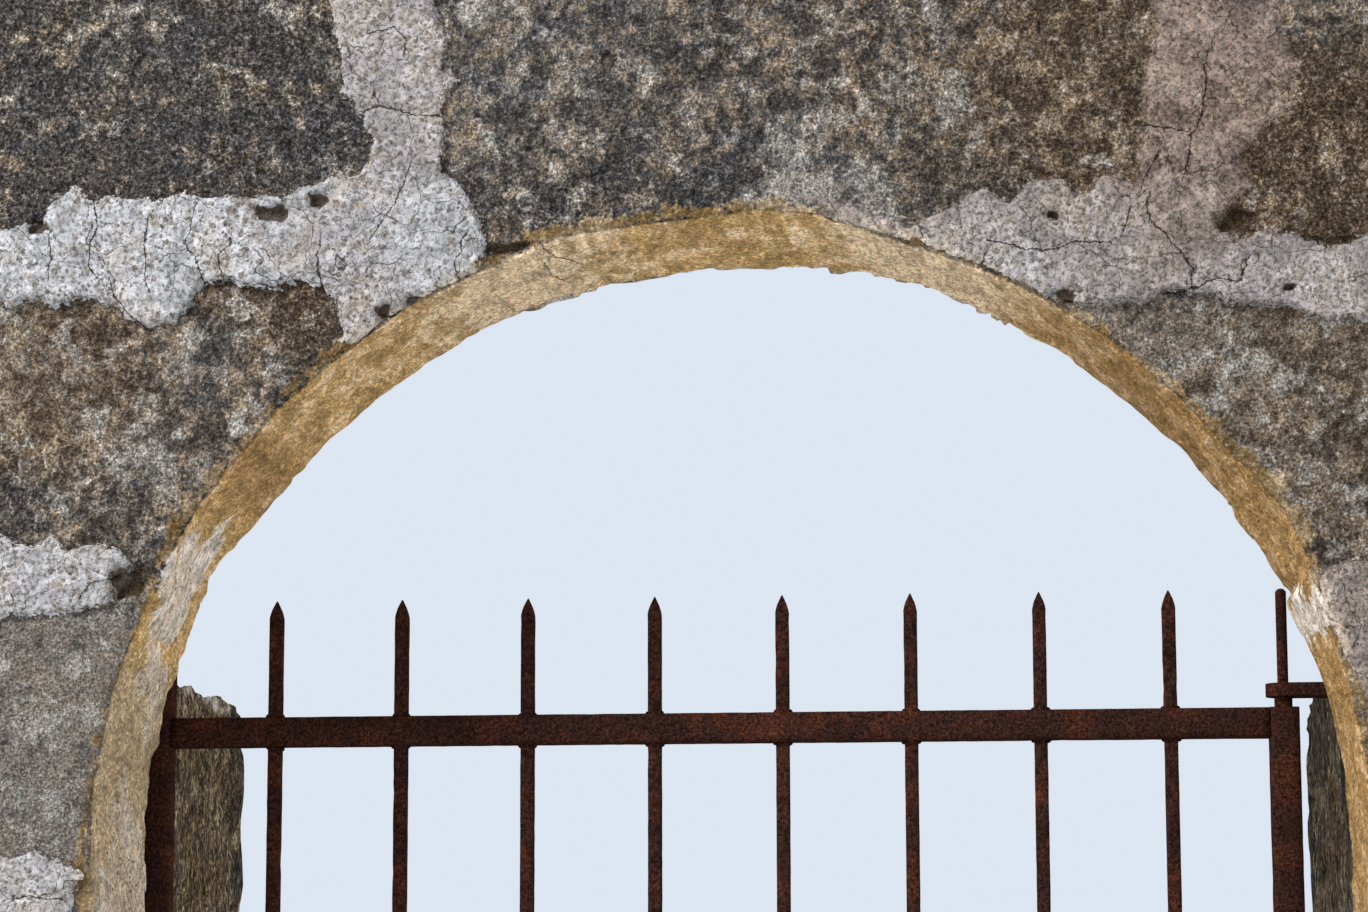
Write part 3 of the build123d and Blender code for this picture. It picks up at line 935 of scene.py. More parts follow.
def limestone_height(s, n, lime_share, crack, crust_share):
    """Height for the bump: rough stone, tooled under the arch, with smoother lime and sunk cracks."""
    rough = s.plus(s.times(n.middle, 1.2), s.times(n.grain, 0.3))
    rough = s.plus(rough, s.times(n.clump, 0.5))
    rough = s.times(rough, s.step(n.under, 0.0, 1.0, 1.0, 0.45))
    rough = s.plus(rough, s.times(s.times(n.tooled, n.under), 1.1))
    rough = s.plus(rough, s.times(s.times(n.streak, n.under), 0.1))
    rough = s.plus(rough, s.times(n.speck, 0.12))
    height = s.times(rough, s.step(lime_share, 0.0, 1.0, 1.0, 0.6))
    height = s.plus(height, s.times(lime_share, 0.5))
    height = s.minus(height, s.times(crack, 0.8))
    return s.plus(height, s.times(crust_share, 0.25))


def masonry_material(stone):
    """Weathered limestone, cut clean under the arch, with lime joints, cracks and holes, and painted shade in
    the holes and beside the lime's raised edge.
    """
    s = Shader("weathered_limestone")
    n = limestone_noise(s)
    weathered, crust_share = weathered_face(s, n, stone)
    tan = cut_face(s, n, stone)
    face = s.mix(s.step(s.plus(n.cut, s.times(n.ragged, 1.3)), 0.36, 0.64), weathered, tan)
    edge, lime_share = lime_extent(s, n)
    colour = s.mix(lime_share, face, mortar_face(s, n, stone, face, tan))
    # Painted shade and dirt darken the stone beside the lime's raised edge
    colour = s.mix(lime_edge_shade_and_dirt(s, n, edge, lime_share), colour, LIME_EDGE_SHADE_AND_DIRT_COLOUR)
    crack, hair = crack_shares(s, n, lime_share)
    colour = s.mix(s.math("MAXIMUM", crack, hair), colour, CRACK_COLOUR)
    # Painted shade: holes and open joints are filled with near-black, flecked with crumbs
    hollow = s.plus(s.read("hole"), s.times(n.ragged, 2.2))
    hollow_colour = s.mix(s.step(n.grain, 0.4, 0.65), HOLE_SHADE_COLOUR, HOLE_CRUMB_COLOUR)
    colour = s.mix(s.step(hollow, 0.4, 0.7, 0.0, 0.9), colour, hollow_colour)
    height = limestone_height(s, n, lime_share, crack, crust_share)
    return s.finish(colour, 0.92, height, 0.0052)


def rubble_material(stone):
    """Rough brown rubble in earthy mortar, streaked by rain, darkened with painted shade, with whitewash on
    the right wall's reveal and painted sunlight on the tops and broken crest.
    """
    s = Shader("brown_rubble")
    tone = s.read("tone")
    patch = s.noise(0.034, 4.0, 0.72)
    middle = s.noise(0.017, 3.0, 0.68)
    grain = s.noise(0.006, 3.0, 0.95)
    rain = s.noise(0.0085, 3.0, 0.8, stretch=(1.0, 1.0, 0.4))
    speck = s.noise(0.0042, 1.0, 0.9, stretch=(1.0, 1.0, 0.6))
    ragged = s.centred(middle, 0.03)
    face = s.mix(s.step(tone, 0.1, 0.5), stone.rubble, stone.dark_rubble)
    face = s.mix(s.step(tone, 0.55, 0.9), face, stone.tan_rubble)
    face = s.mix(s.step(patch, 0.53, 0.62, 0.0, 0.6), face, PALE_RUBBLE_COLOUR)
    bed = s.mix(s.step(patch, 0.42, 0.58), DRY_BED_COLOUR, DAMP_BED_COLOUR)
    colour = s.mix(s.step(s.plus(s.read("joint"), ragged), 0.006, 0.012), bed, face)
    colour = s.shaded(colour, s.speckle(rain, 8.0))
    # Painted shade: near-black spots where the rubble is pitted
    colour = s.mix(s.step(middle, 0.34, 0.47, 0.85, 0.0), colour, RUBBLE_PIT_SHADE_COLOUR)
    colour = s.shaded(colour, s.speckle(grain, 6.0))
    colour = s.shaded(colour, s.speckle(speck, 8.0))
    # Real whitewash low on the right wall's reveal, and painted sunlight on the tops and along the crest
    wash = s.plus(s.read("whitewash"), s.times(ragged, 40.0))
    pale = s.shaded(WHITEWASH_AND_SUNLIGHT_COLOUR, s.step(s.plus(grain, patch), 0.8, 1.15, 0.35, 1.1))
    colour = s.mix(s.step(wash, 0.4, 0.75, 0.0, 0.9), colour, pale)
    height = s.plus(s.times(middle, 1.2), s.times(rain, 0.8))
    height = s.plus(height, s.times(grain, 0.3))
    return s.finish(colour, 0.94, height, 0.006)


def iron_material(name, iron):
    """Dark iron with rust bloom, flecks and pits."""
    s = Shader(name)
    bloom = s.noise(0.04, 5.0, 0.65)
    fleck = s.noise(0.005, 3.0, 0.7)
    fine = s.noise(0.0034, 2.0, 0.9)
    mixed = s.plus(s.times(bloom, 0.6), s.times(fleck, 0.4))
    colour = s.mix(s.step(mixed, 0.44, 0.64), iron.iron, iron.rust)
    colour = s.mix(s.step(fleck, 0.54, 0.62, 0.0, 0.85), colour, IRON_FLECK_COLOUR)
    colour = s.shaded(colour, s.speckle(fine, 5.0))
    height = s.plus(fleck, s.times(fine, 0.4))
    return s.finish(colour, 0.9, height, 0.0012, shine=0.0)


# Masonry: where the joints, the lime and the tones lie

def head_joints(course_low):
    """Upright joints of the course whose lower bed is at this height, as places along the wall."""
    beds = (CROWN_BED, HAUNCH_BED, SPRINGER_BED)
    for bed, joints in zip(beds, (TOP_JOINTS, HAUNCH_JOINTS, SPRINGER_JOINTS)):
        if course_low >= bed - 0.01:
            return joints
    odd = round(course_low / SPRINGER_BED * JAMB_COURSES) % 2
    return ODD_JAMB_JOINTS if odd else EVEN_JAMB_JOINTS


def course_beds():
    """Heights of the beds, from the ground to the top."""
    low = [SPRINGER_BED * index / JAMB_COURSES for index in range(JAMB_COURSES)]
    return low + [SPRINGER_BED, HAUNCH_BED, CROWN_BED, WALL_TOP]


def joint_distance(points):
    """Distance to the nearest joint between blocks, and a repeatable number for the block."""
    best = np.full(len(points), np.inf)
    block = np.zeros(len(points))
    beds = course_beds()
    for index, (low, high) in enumerate(zip(beds, beds[1:])):
        inside = (points[:, 2] >= low) & (points[:, 2] < high)
        gap = np.minimum(points[:, 2] - low if index else np.inf, high - points[:, 2])
        number = np.zeros(len(points))
        for place in head_joints(low):
            gap = np.minimum(gap, np.abs(points[:, 0] - place))
            number += points[:, 0] > place
        best = np.where(inside, gap, best)
        block = np.where(inside, number + 7 * index, block)
    best = np.where(points[:, 2] < 0, FAR_FROM_JOINT, best)
    return np.where(np.isfinite(best), best, 0.0), block


def soft_patches(points, patches, elsewhere):
    """Tones on the front face as the photograph shows them, blended between the patches' middles."""
    total = np.full(len(points), ELSEWHERE_WEIGHT)
    tones = np.full((len(points), len(elsewhere)), elsewhere) * ELSEWHERE_WEIGHT
    places = seen_on_plane([patch[:2] for patch in patches], FRONT)
    scale = FOCAL_PIXELS / (FRONT - CAMERA_PLACE[1])
    for place, patch in zip(places, patches):
        gap = np.hypot(points[:, 0] - place[0], points[:, 2] - place[2]) * scale
        weight = np.exp(-(gap / patch[2]) ** 2 * PATCH_FALLOFF)
        total += weight
        tones += weight[:, None] * np.array(patch[3:])
    return tones / total[:, None]


def in_window(points):
    """1 on the part of the wall that the photograph shows, fading to 0 beyond it."""
    side = ease(WINDOW + WINDOW_FADE / 2 - np.abs(points[:, 0] - WINDOW_MIDDLE), 0, WINDOW_FADE)
    return side * ease(points[:, 2], WINDOW_FOOT, WINDOW_FULL)


def edge_offsets(points):
    """How far the worn arch stands back from its true curve, by place round it and depth."""
    front_place = seen_on_plane(FRONT_ARRIS, FRONT)
    rear_place = seen_on_plane(REAR_ARRIS, BACK)
    place = around(points)
    depth = np.clip((points[:, 1] - FRONT) / (BACK - FRONT), 0, 1)
    offsets = []
    for found in (front_place, rear_place):
        gap, _ = away_from_opening(found)
        offsets.append(np.interp(place, around(found), gap))
    worn = offsets[0] * (1 - depth) + offsets[1] * depth
    broken = ease(noise(points, 0.04, 56, 3), -0.1, 0.6) * np.exp(-np.maximum(BACK - points[:, 1], 0) / 0.025)
    worn = worn + BROKEN_ARRIS * broken + 0.0015 * noise(points, 0.015, 59, 2)
    keep = ease(points[:, 2], 1.3, SPRINGER_BED - 0.06)
    return worn * keep + 0.005 * noise(points, 0.12, 3, 2) * (1 - keep)


def rounded(points, radius, faces):
    """Points moved in at the worn arrises. faces holds (distance from the face, inward direction) pairs."""
    reach = [np.maximum(radius - gap, 0) for gap, _ in faces]
    length = np.sqrt(sum(value ** 2 for value in reach))
    share = np.where(length > radius, 1 - radius / np.maximum(length, 1e-9), 0)
    for value, (_, inward) in zip(reach, faces):
        points = points + (value * share)[:, None] * inward
    return points


def wear_arrises(points, radius):
    """The arch wall's own edges, rounded by wear."""
    gap, away = away_from_opening(points)
    along = np.zeros_like(points)
    along[:, 1] = 1
    ends = np.zeros_like(points)
    ends[:, 0] = -np.sign(points[:, 0])
    size = radius * (1 + 0.45 * noise(points, 0.09, 5, 2))
    rear = size * REAR_ARRIS_SHARE
    back_gap = (BACK - points[:, 1]) * size / rear
    end_gap = WALL_END - np.abs(points[:, 0])
    faces = ((points[:, 1] - FRONT, along), (back_gap, -along), (gap, away), (end_gap, ends))
    return rounded(points, size, faces)


def lime_on_front(points):
    """Signed distance into the lime of the front face, in the part that the photograph shows."""
    flat = points[:, (0, 2)]
    shaken = flat + 0.007 * np.stack((noise(points, 0.024, 21, 3), noise(points, 0.024, 22, 3)), axis=1)
    best = np.full(len(points), NO_LIME)
    for outline in FRONT_LIME:
        path = seen_on_plane(outline, FRONT)[:, (0, 2)]
        gap, side = path_distance(shaken, path, closed=True)
        best = np.maximum(best, gap * side)
    return best


def lime_on_soffit(points):
    """Signed distance into the lime left on the reveal and soffit."""
    streaks = noise(points * (1.0, 2.5, 0.5), 0.03, 23, 3)
    flat = unrolled(points) + np.stack((0.003 * streaks, 0.014 * streaks), axis=1)
    best = np.full(len(points), NO_LIME)
    for outline in SOFFIT_LIME:
        gap, side = path_distance(flat, seen_on_soffit(outline), closed=True)
        best = np.maximum(best, gap * side)
    return best


def cracks_near(points, on_reveal):
    """Signed distance to the nearest crack, and how near it is from 0 to 1."""
    shake = 0.005 * np.stack((noise(points, 0.017, 31, 2), noise(points, 0.017, 32, 2)), axis=1)
    front_flat = points[:, (0, 2)] + shake
    soffit_flat = unrolled(points) + shake
    paths = [(front_flat, seen_on_plane(crack, FRONT)[:, (0, 2)], on_reveal < 0.5) for crack in CRACKS]
    paths += [(soffit_flat, seen_on_soffit(crack), on_reveal >= 0.5) for crack in SOFFIT_CRACKS]
    best = np.full(len(points), 1.0)
    signed = np.full(len(points), 1.0)
    for flat, path, here in paths:
        gap, side = path_distance(flat, path, closed=False)
        gap = np.where(here, gap, 1.0)
        nearer = gap < best
        signed = np.where(nearer, gap * side, signed)
        best = np.where(nearer, gap, best)
    return np.clip(signed, -0.02, 0.02), np.clip(1 - best / CRACK_REACH, 0, 1)


def holes_on_front(points):
    """1 in the middle of each hole of the front face, 0 outside."""
    deep = np.zeros(len(points))
    scale = (FRONT - CAMERA_PLACE[1]) / FOCAL_PIXELS
    for (u, v, wide, tall), place in zip(HOLES, seen_on_plane([hole[:2] for hole in HOLES], FRONT)):
        off_x = (points[:, 0] - place[0]) / (wide * scale)
        off_z = (points[:, 2] - place[2]) / (tall * scale)
        reach = np.hypot(off_x, off_z) + 0.75 * noise(points, 0.011, 33, 3)
        deep = np.maximum(deep, 1 - ease(reach, 0.55, 1.15))
    return deep


def worn_skin(mesh, stone):
    """Wears the arch and edges of a skin, and says where and on which block each of its points is."""
    points = get_points(mesh)
    gap, away = away_from_opening(points)
    shift = edge_offsets(points) * np.exp(-np.maximum(gap, 0) / ARRIS_REACH)
    points += away * shift[:, None]
    skin = SimpleNamespace()
    skin.joint, skin.block = joint_distance(points)
    gap, away = away_from_opening(points)
    skin.gap = gap - edge_offsets(points)
    skin.points = wear_arrises(points, stone.arris_round)
    set_points(mesh, skin.points)
    skin.normals = get_normals(mesh)
    skin.on_front = ease(-skin.normals[:, 1], 0.45, 0.8)
    skin.on_back = ease(skin.normals[:, 1], 0.45, 0.8)
    inward = ease(-(skin.normals * away).sum(axis=1), 0.3, 0.8)
    skin.on_reveal = (1 - skin.on_front) * (1 - skin.on_back) * inward
    skin.window = in_window(skin.points) * (1 - skin.on_back)
    return skin


def lime_depth(skin):
    """Signed distance into the lime: as drawn where the photograph shows it, elsewhere along the joints."""
    points = skin.points
    wander = skin.joint + 0.012 * noise(points, 0.05, 41, 3)
    breadth = LIME_BAND + 0.045 * noise(points, 0.33, 43, 2) + 0.022 * noise(points, 0.1, 44, 2)
    band = breadth * (0.6 + 0.4 * skin.on_front + 0.2 * skin.on_back) - wander
    band = np.where(skin.on_reveal * (points[:, 2] > SPRINGING) > 0.5, NO_LIME, band)
    drawn = lime_on_front(points) * skin.on_front + lime_on_soffit(points) * skin.on_reveal
    drawn += NO_LIME * (1 - skin.on_front - skin.on_reveal)
    return band * (1 - skin.window) + drawn * skin.window


def relief_height(skin, stone):
    """How far lime, lumps, pits, joints and holes stand out from the worn stone, or lie under it."""
    points, window, lime_share = skin.points, skin.window, skin.lime_share
    lumps = noise(points, 0.05, 52, 3)
    pits = ease(noise(points, 0.028, 53, 2), 0.15, 0.75)
    block_level = lattice_value(skin.block.astype(np.int64), 3, 5, 61)
    sunk = np.exp(-np.maximum(skin.joint, 0) / SUNK_REACH) * (1 - window)
    rock = SWELL * skin.broad + LUMP * lumps - PIT * pits + BLOCK_STEP * block_level - SUNK_EDGE * sunk
    rock += FINE_LUMP * noise(points, 0.013, 60, 2) - OPEN_JOINT * skin.open_joint
    mortar = stone.lime_proud * (1 - 0.6 * np.clip(skin.age, 0, 1) * window)
    mortar += 0.0022 * noise(points, 0.07, 54, 2)
    mortar += 0.0012 * noise(points, 0.02, 55, 2)
    undercut = UNDERCUT * np.exp(-np.abs(skin.lime) / UNDERCUT_REACH) * (1 - lime_share)
    relief = (rock - undercut) * (1 - lime_share) + mortar * lime_share
    relief = relief - HOLE * skin.holes - CRACK * ease(skin.crack_near, 0.5, 1.0)
    cut_rock = CUT_LUMP * noise(points, 0.08, 57, 3) + FINE_CUT_LUMP * noise(points, 0.02, 58, 2)
    return relief * (1 - skin.on_reveal) + (cut_rock + 0.5 * mortar * lime_share) * skin.on_reveal


def mark_tones(mesh, skin):
    """Marks lichen, ochre and pale crust: as in the photograph, and by the block elsewhere. On the reveals
    the ochre mark carries painted shade on the right of the arch and a brown stain on the left.
    """
    points, window, on_reveal = skin.points, skin.window, skin.on_reveal
    tones = soft_patches(points, TONES, TONE_ELSEWHERE) * window[:, None]
    palest = sum(np.exp(-((points[:, 0] - place) / CREAM_WIDTH) ** 2) for place in CREAM_PLACES)
    stain = np.exp(-((points[:, 0] - STAIN_PLACE) / STAIN_WIDTH) ** 2)
    # Painted shade on the right of the arch's underside, and a brown stain near its left front edge
    shaded = 0.9 * ease(points[:, 0], 0.2, 0.42) + 0.75 * stain
    dusty = ease(PLASTER_FOOT - points[:, 2], 0, 0.1) * (points[:, 0] < 0)
    tones[:, 1] = tones[:, 1] * (1 - on_reveal) + (shaded - dusty) * on_reveal
    tones[:, 2] = tones[:, 2] * (1 - on_reveal) + palest * on_reveal
    block = skin.block.astype(np.int64)
    per_block = [BLOCK_TONE + BLOCK_SWING * lattice_value(block, 1, part, 71 + part) for part in range(3)]
    per_block = np.stack(per_block, axis=1) * (1 - on_reveal)[:, None] + np.outer(on_reveal, REVEAL_TONE)
    tones += per_block * (1 - window)[:, None]
    under_coping = ease(points[:, 2], WALL_TOP - COPING_STAIN_HEIGHT, WALL_TOP) * COPING_STAIN * (1 - window)
    splash = ease(SPLASH_HEIGHT - points[:, 2], 0, SPLASH_HEIGHT) * SPLASH
    set_attribute(mesh, "lichen", tones[:, 0] + under_coping + splash)
    set_attribute(mesh, "ochre", tones[:, 1])
    set_attribute(mesh, "crust", tones[:, 2])


def mark_finishes(mesh, skin):
    """Marks the cut stone, the lime and its age, the cracks and the holes."""
    points, gap, window = skin.points, skin.gap, skin.window
    # The front rim's mark stays below 1, and the reveals' mark is lowered outside the window: this paints
    # shade on the cut stone there
    rim = 0.75 * ease(0.032 - gap + 0.008 * skin.broad, 0, 0.034)
    clean = ease(skin.normals[:, 1], -0.85, -0.3) * ease(0.05 - gap + 0.01 * skin.broad, 0, 0.02)
    clean = clean * (1 - skin.on_back * ease(gap, 0.005, 0.03))
    clean = clean * (0.82 + 0.18 * window)
    low_on_reveal = ease(PLASTER_FOOT - points[:, 2], 0, 0.06) * skin.on_reveal
    set_attribute(mesh, "cut_stone", np.maximum(clean, rim * skin.on_front))
    set_attribute(mesh, "lime_edge", skin.lime)
    set_attribute(mesh, "along_arch", np.column_stack((unrolled(points), gap)))
    set_attribute(mesh, "old_lime", np.clip(skin.age * (1 - skin.on_reveal) + low_on_reveal, 0, 1))
    set_attribute(mesh, "crack_side", skin.crack_side)
    set_attribute(mesh, "crack_near", skin.crack_near * window)
    # The hole mark places the painted shade in holes, and in open joints free of lime
    set_attribute(mesh, "hole", np.maximum(skin.holes, 0.9 * skin.open_joint * (1 - skin.lime_share)))


def dress_masonry(mesh, stone):
    """Wears, pits and points up one skin of the arch wall, and marks where each finish lies."""
    skin = worn_skin(mesh, stone)
    window = skin.window
    skin.lime = lime_depth(skin)
    skin.lime_share = ease(skin.lime, -0.001, 0.004)
    skin.holes = holes_on_front(skin.points) * skin.on_front
    skin.crack_side, crack_near = cracks_near(skin.points, skin.on_reveal)
    skin.crack_near = crack_near * (1 - skin.on_back)
    skin.open_joint = np.exp(-(np.maximum(skin.joint, 0) / JOINT_WIDTH) ** 2) * (1 - window)
    skin.broad = noise(skin.points, 0.15, 51, 2)
    shown_age = soft_patches(skin.points, LIME_AGE, AGE_ELSEWHERE)[:, 0]
    skin.age = shown_age * window + (0.45 + 0.5 * skin.broad) * (1 - window)
    skin.points += skin.normals * relief_height(skin, stone)[:, None]
    skin.points[:, 0] = np.clip(skin.points[:, 0], -WALL_END, WALL_END)
    skin.points[:, 2] = np.clip(skin.points[:, 2], 0, WALL_TOP)
    set_points(mesh, skin.points)
    mark_tones(mesh, skin)
    mark_finishes(mesh, skin)


def plain_dress(mesh, low, high, radius, tone, seed):
    """Wears a squared block inside its box, marks it as bare stone, and gives its points and normals."""
    points = get_points(mesh)
    faces = []
    for axis in range(3):
        inward = np.zeros_like(points)
        inward[:, axis] = 1
        faces.append((points[:, axis] - low[axis], inward))
        faces.append((high[axis] - points[:, axis], -inward))
    size = radius * (1 + 0.5 * noise(points, 0.07, seed, 2))
    points = rounded(points, size, faces)
    set_points(mesh, points)
    normals = get_normals(mesh)
    pits = ease(noise(points, 0.03, seed + 1, 2), 0.1, 0.8)
    relief = -0.0028 + 0.0016 * noise(points, 0.12, seed + 2, 2) + 0.0012 * noise(points, 0.03, seed + 3, 2)
    points += normals * (relief - 0.004 * pits)[:, None]
    set_points(mesh, np.clip(points, low, high))
    for name, value in zip(("lichen", "ochre", "crust"), tone):
        set_attribute(mesh, name, value + 0.25 * noise(points, 0.2, seed + 4, 2))
    for name in ("cut_stone", "old_lime", "crack_near", "crack_side", "hole"):
        set_attribute(mesh, name, np.zeros(len(points)))
    set_attribute(mesh, "lime_edge", np.full(len(points), NO_LIME))
    set_attribute(mesh, "along_arch", points)
    return points, normals


def arch_outline(low):
    """The wall over the opening, from a height just below the springers' bed."""
    arc = []
    for index in range(ARCH_STEPS + 1):
        angle = math.pi * (1 - index / ARCH_STEPS)
        arc.append((HALF_OPENING * math.cos(angle), SPRINGING + HALF_OPENING * math.sin(angle)))
    left = [(-WALL_END, low), (-HALF_OPENING, low)]
    right = [(HALF_OPENING, low), (WALL_END, low), (WALL_END, WALL_TOP), (-WALL_END, WALL_TOP)]
    return left + arc + right


def shown_closely(middles, normals):
    """True for facets that the photograph shows from close by."""
    across = np.abs(middles[:, 0]) < WINDOW
    height = (middles[:, 2] > WINDOW_FULL) & (middles[:, 2] < WALL_TOP - 0.03)
    return across & height & (normals[:, 1] < 0.5)


LEFTWARD, RIGHTWARD = Vector((-1, 0, 0)), Vector((1, 0, 0))
DOWNWARD, UPWARD = Vector((0, 0, -1)), Vector((0, 0, 1))


def course_planes(low, high, left=None, right=None):
    """Cutting planes of one stone: its beds, and its upright joints where it has them."""
    planes = []
    if low is not None:
        planes.append((Vector((0, 0, low)), DOWNWARD))
    if high is not None:
        planes.append((Vector((0, 0, high)), UPWARD))
    if left is not None:
        planes.append((Vector((left, 0, 0)), LEFTWARD))
    if right is not None:
        planes.append((Vector((right, 0, 0)), RIGHTWARD))
    return planes


class GATEWAY_OT_head_stones(bpy.types.Operator):
    """Springers, haunches, crown stone and top course over the opening"""

    bl_idname = "gateway.head_stones"
    bl_label = "Arch Stones"

    def execute(self, context):
        stone = context.scene.gateway_stone
        mesh = remeshed(prism(arch_outline(SPRINGER_BED - CUT_OVERLAP), FRONT, BACK), stone.head_grain)
        mesh = refined(mesh, shown_closely)
        dress_masonry(mesh, stone)
        material = stone_material(stone)
        courses = {
            "left_springer": course_planes(SPRINGER_BED, HAUNCH_BED, right=0.0),
            "right_springer": course_planes(SPRINGER_BED, HAUNCH_BED, left=0.0),
            "left_haunch": course_planes(HAUNCH_BED, CROWN_BED, right=0.0),
            "right_haunch": course_planes(HAUNCH_BED, CROWN_BED, left=0.0),
            "left_top_course": course_planes(CROWN_BED, None, right=CROWN_LEFT),
            "crown_stone": course_planes(CROWN_BED, None, left=CROWN_LEFT, right=CROWN_RIGHT),
            "right_top_course": course_planes(CROWN_BED, None, left=CROWN_RIGHT),
        }
        for name, planes in courses.items():
            finished(name, cut_between(mesh, name, planes), "wall", "ashlar", material, name)
        bpy.data.meshes.remove(mesh)
        return {"FINISHED"}


class GATEWAY_OT_jambs(bpy.types.Operator):
    """The two jambs under the arch, down to the ground"""

    bl_idname = "gateway.jambs"
    bl_label = "Jambs"

    def execute(self, context):
        stone = context.scene.gateway_stone
        material = stone_material(stone)
        for name in ("left_jamb", "right_jamb"):
            low, high = LOW[name], HIGH[name]
            top = high.z + CUT_OVERLAP
            outline = ((low.x, low.z), (high.x, low.z), (high.x, top), (low.x, top))
            mesh = remeshed(prism(outline, FRONT, BACK), stone.jamb_grain)
            dress_masonry(mesh, stone)
            cut = cut_between(mesh, name, course_planes(None, high.z))
            bpy.data.meshes.remove(mesh)
            finished(name, cut, "wall", "ashlar", material, name)
        return {"FINISHED"}


def stone_material(stone):
    return bpy.data.materials.get("weathered_limestone") or masonry_material(stone)


class GATEWAY_OT_coping(bpy.types.Operator):
    """Four coping slabs along the top"""

    bl_idname = "gateway.coping"
    bl_label = "Coping"

    def execute(self, context):
        stone = context.scene.gateway_stone
        for index, name in enumerate(COPINGS, 1):
            mesh = remeshed(node_copy(name), stone.coping_grain)
            plain_dress(mesh, LOW[name], HIGH[name], COPING_ROUND, COPING_TONE, seed=100 + index * 10)
            finished(name, mesh, "wall", "coping_stone", stone_material(stone), name)
        return {"FINISHED"}


class GATEWAY_OT_threshold(bpy.types.Operator):
    """The stone slab underfoot, hollowed by use"""

    bl_idname = "gateway.threshold"
    bl_label = "Threshold"

    def execute(self, context):
        stone = context.scene.gateway_stone
        name = "threshold"
        mesh = remeshed(node_copy(name), stone.coping_grain)
        points, normals = plain_dress(mesh, LOW[name], HIGH[name], THRESHOLD_ROUND, THRESHOLD_TONE, seed=160)
        middle = (LOW[name] + HIGH[name]) / 2
        socket = LOW["foot_socket"]
        tread = np.exp(-((points[:, 0] - middle.x) / TREAD_HALF_WIDTH) ** 2) * ease(normals[:, 2], 0.3, 0.9)
        clear = ease(np.hypot(points[:, 0] - socket.x, points[:, 1] - socket.y), 0.1, 0.2)
        points[:, 2] -= TREAD_WEAR * tread * clear
        set_points(mesh, points)
        finished(name, mesh, "wall", "threshold_stone", stone_material(stone), name)
        return {"FINISHED"}


def rubble_cells(points, seed):
    """Distance to the joint between rubble stones, and a number from 0 to 1 for each stone."""
    size = np.array(RUBBLE_STONE)
    place = points / size + 0.22 * noise(points, 0.09, seed, 2)[:, None]
    cell = np.floor(place).astype(np.int64)
    nearest = np.full(len(points), np.inf)
    second = nearest.copy()
    tone = np.zeros(len(points))
    for step in itertools.product((-1, 0, 1), repeat=3):
        home = [cell[:, axis] + step[axis] for axis in range(3)]
        jitter = [home[axis] + 0.5 + 0.36 * lattice_value(*home, seed + axis) for axis in range(3)]
        gap = np.sqrt(sum(((place[:, axis] - jitter[axis]) * size[axis]) ** 2 for axis in range(3)))
        nearer = gap < nearest
        second = np.where(nearer, nearest, np.minimum(second, gap))
        tone = np.where(nearer, lattice_value(*home, seed + 9), tone)
        nearest = np.where(nearer, gap, nearest)
    return (second - nearest) / 2, tone / 2 + 0.5


def crest_as_seen(points, reveal_x):
    """Moves the top of the left rear wall up or down to the broken line that shows through the arch.

    Gives each point's distance below that line.
    """
    near_reveal = np.abs(points[:, 0] - reveal_x) < 0.03
    crest = seen_on_side(CREST, reveal_x)
    strips = np.linspace(crest[0, 1], crest[-1, 1], CREST_STRIPS)
    shown = np.interp(strips, crest[:, 1], crest[:, 2])
    built = [points[near_reveal & (np.abs(points[:, 1] - place) < 0.02), 2].max() for place in strips]
    change = np.interp(points[:, 1], strips, shown - np.array(built))
    share = ease(points[:, 2], CREST_FOOT, CREST_FULL) * ease(points[:, 0], reveal_x - 0.25, reveal_x - 0.05)
    points[:, 2] += change * share
    return np.interp(points[:, 1], crest[:, 1], crest[:, 2]) - points[:, 2]


def rubble_relief(points, normals, joint, seed):
    """How far the rubble's skin moves: joints and pits sink, and the top is broken."""
    bulge = ease(joint, 0.003, 0.026)
    calm = 1 - 0.75 * ease(np.abs(normals[:, 0]), 0.4, 0.8)
    relief = -0.003 - 0.010 * (1 - bulge) * calm + 0.003 * noise(points, 0.05, seed + 5, 3)
    relief -= 0.004 * ease(noise(points, 0.03, seed + 6, 2), 0.1, 0.7)
    broken = noise(points, 0.045, seed + 7, 3) * ease(normals[:, 2], 0.2, 0.8)
    return np.minimum(relief, 0) + 0.007 * broken


def painted_sunlight(points, normals, under_crest, seed):
    """Painted sunlight on the rubble, from 0 to 1: paler on faces that look up, and in flecks just under the
    broken crest.
    """
    sunlit = 0.75 * ease(0.035 - under_crest, 0, 0.03)
    sunlit = sunlit * ease(noise(points, 0.02, seed + 8, 2), -0.3, 0.2)
    return np.maximum(0.42 * ease(normals[:, 2], 0.25, 0.7), sunlit)


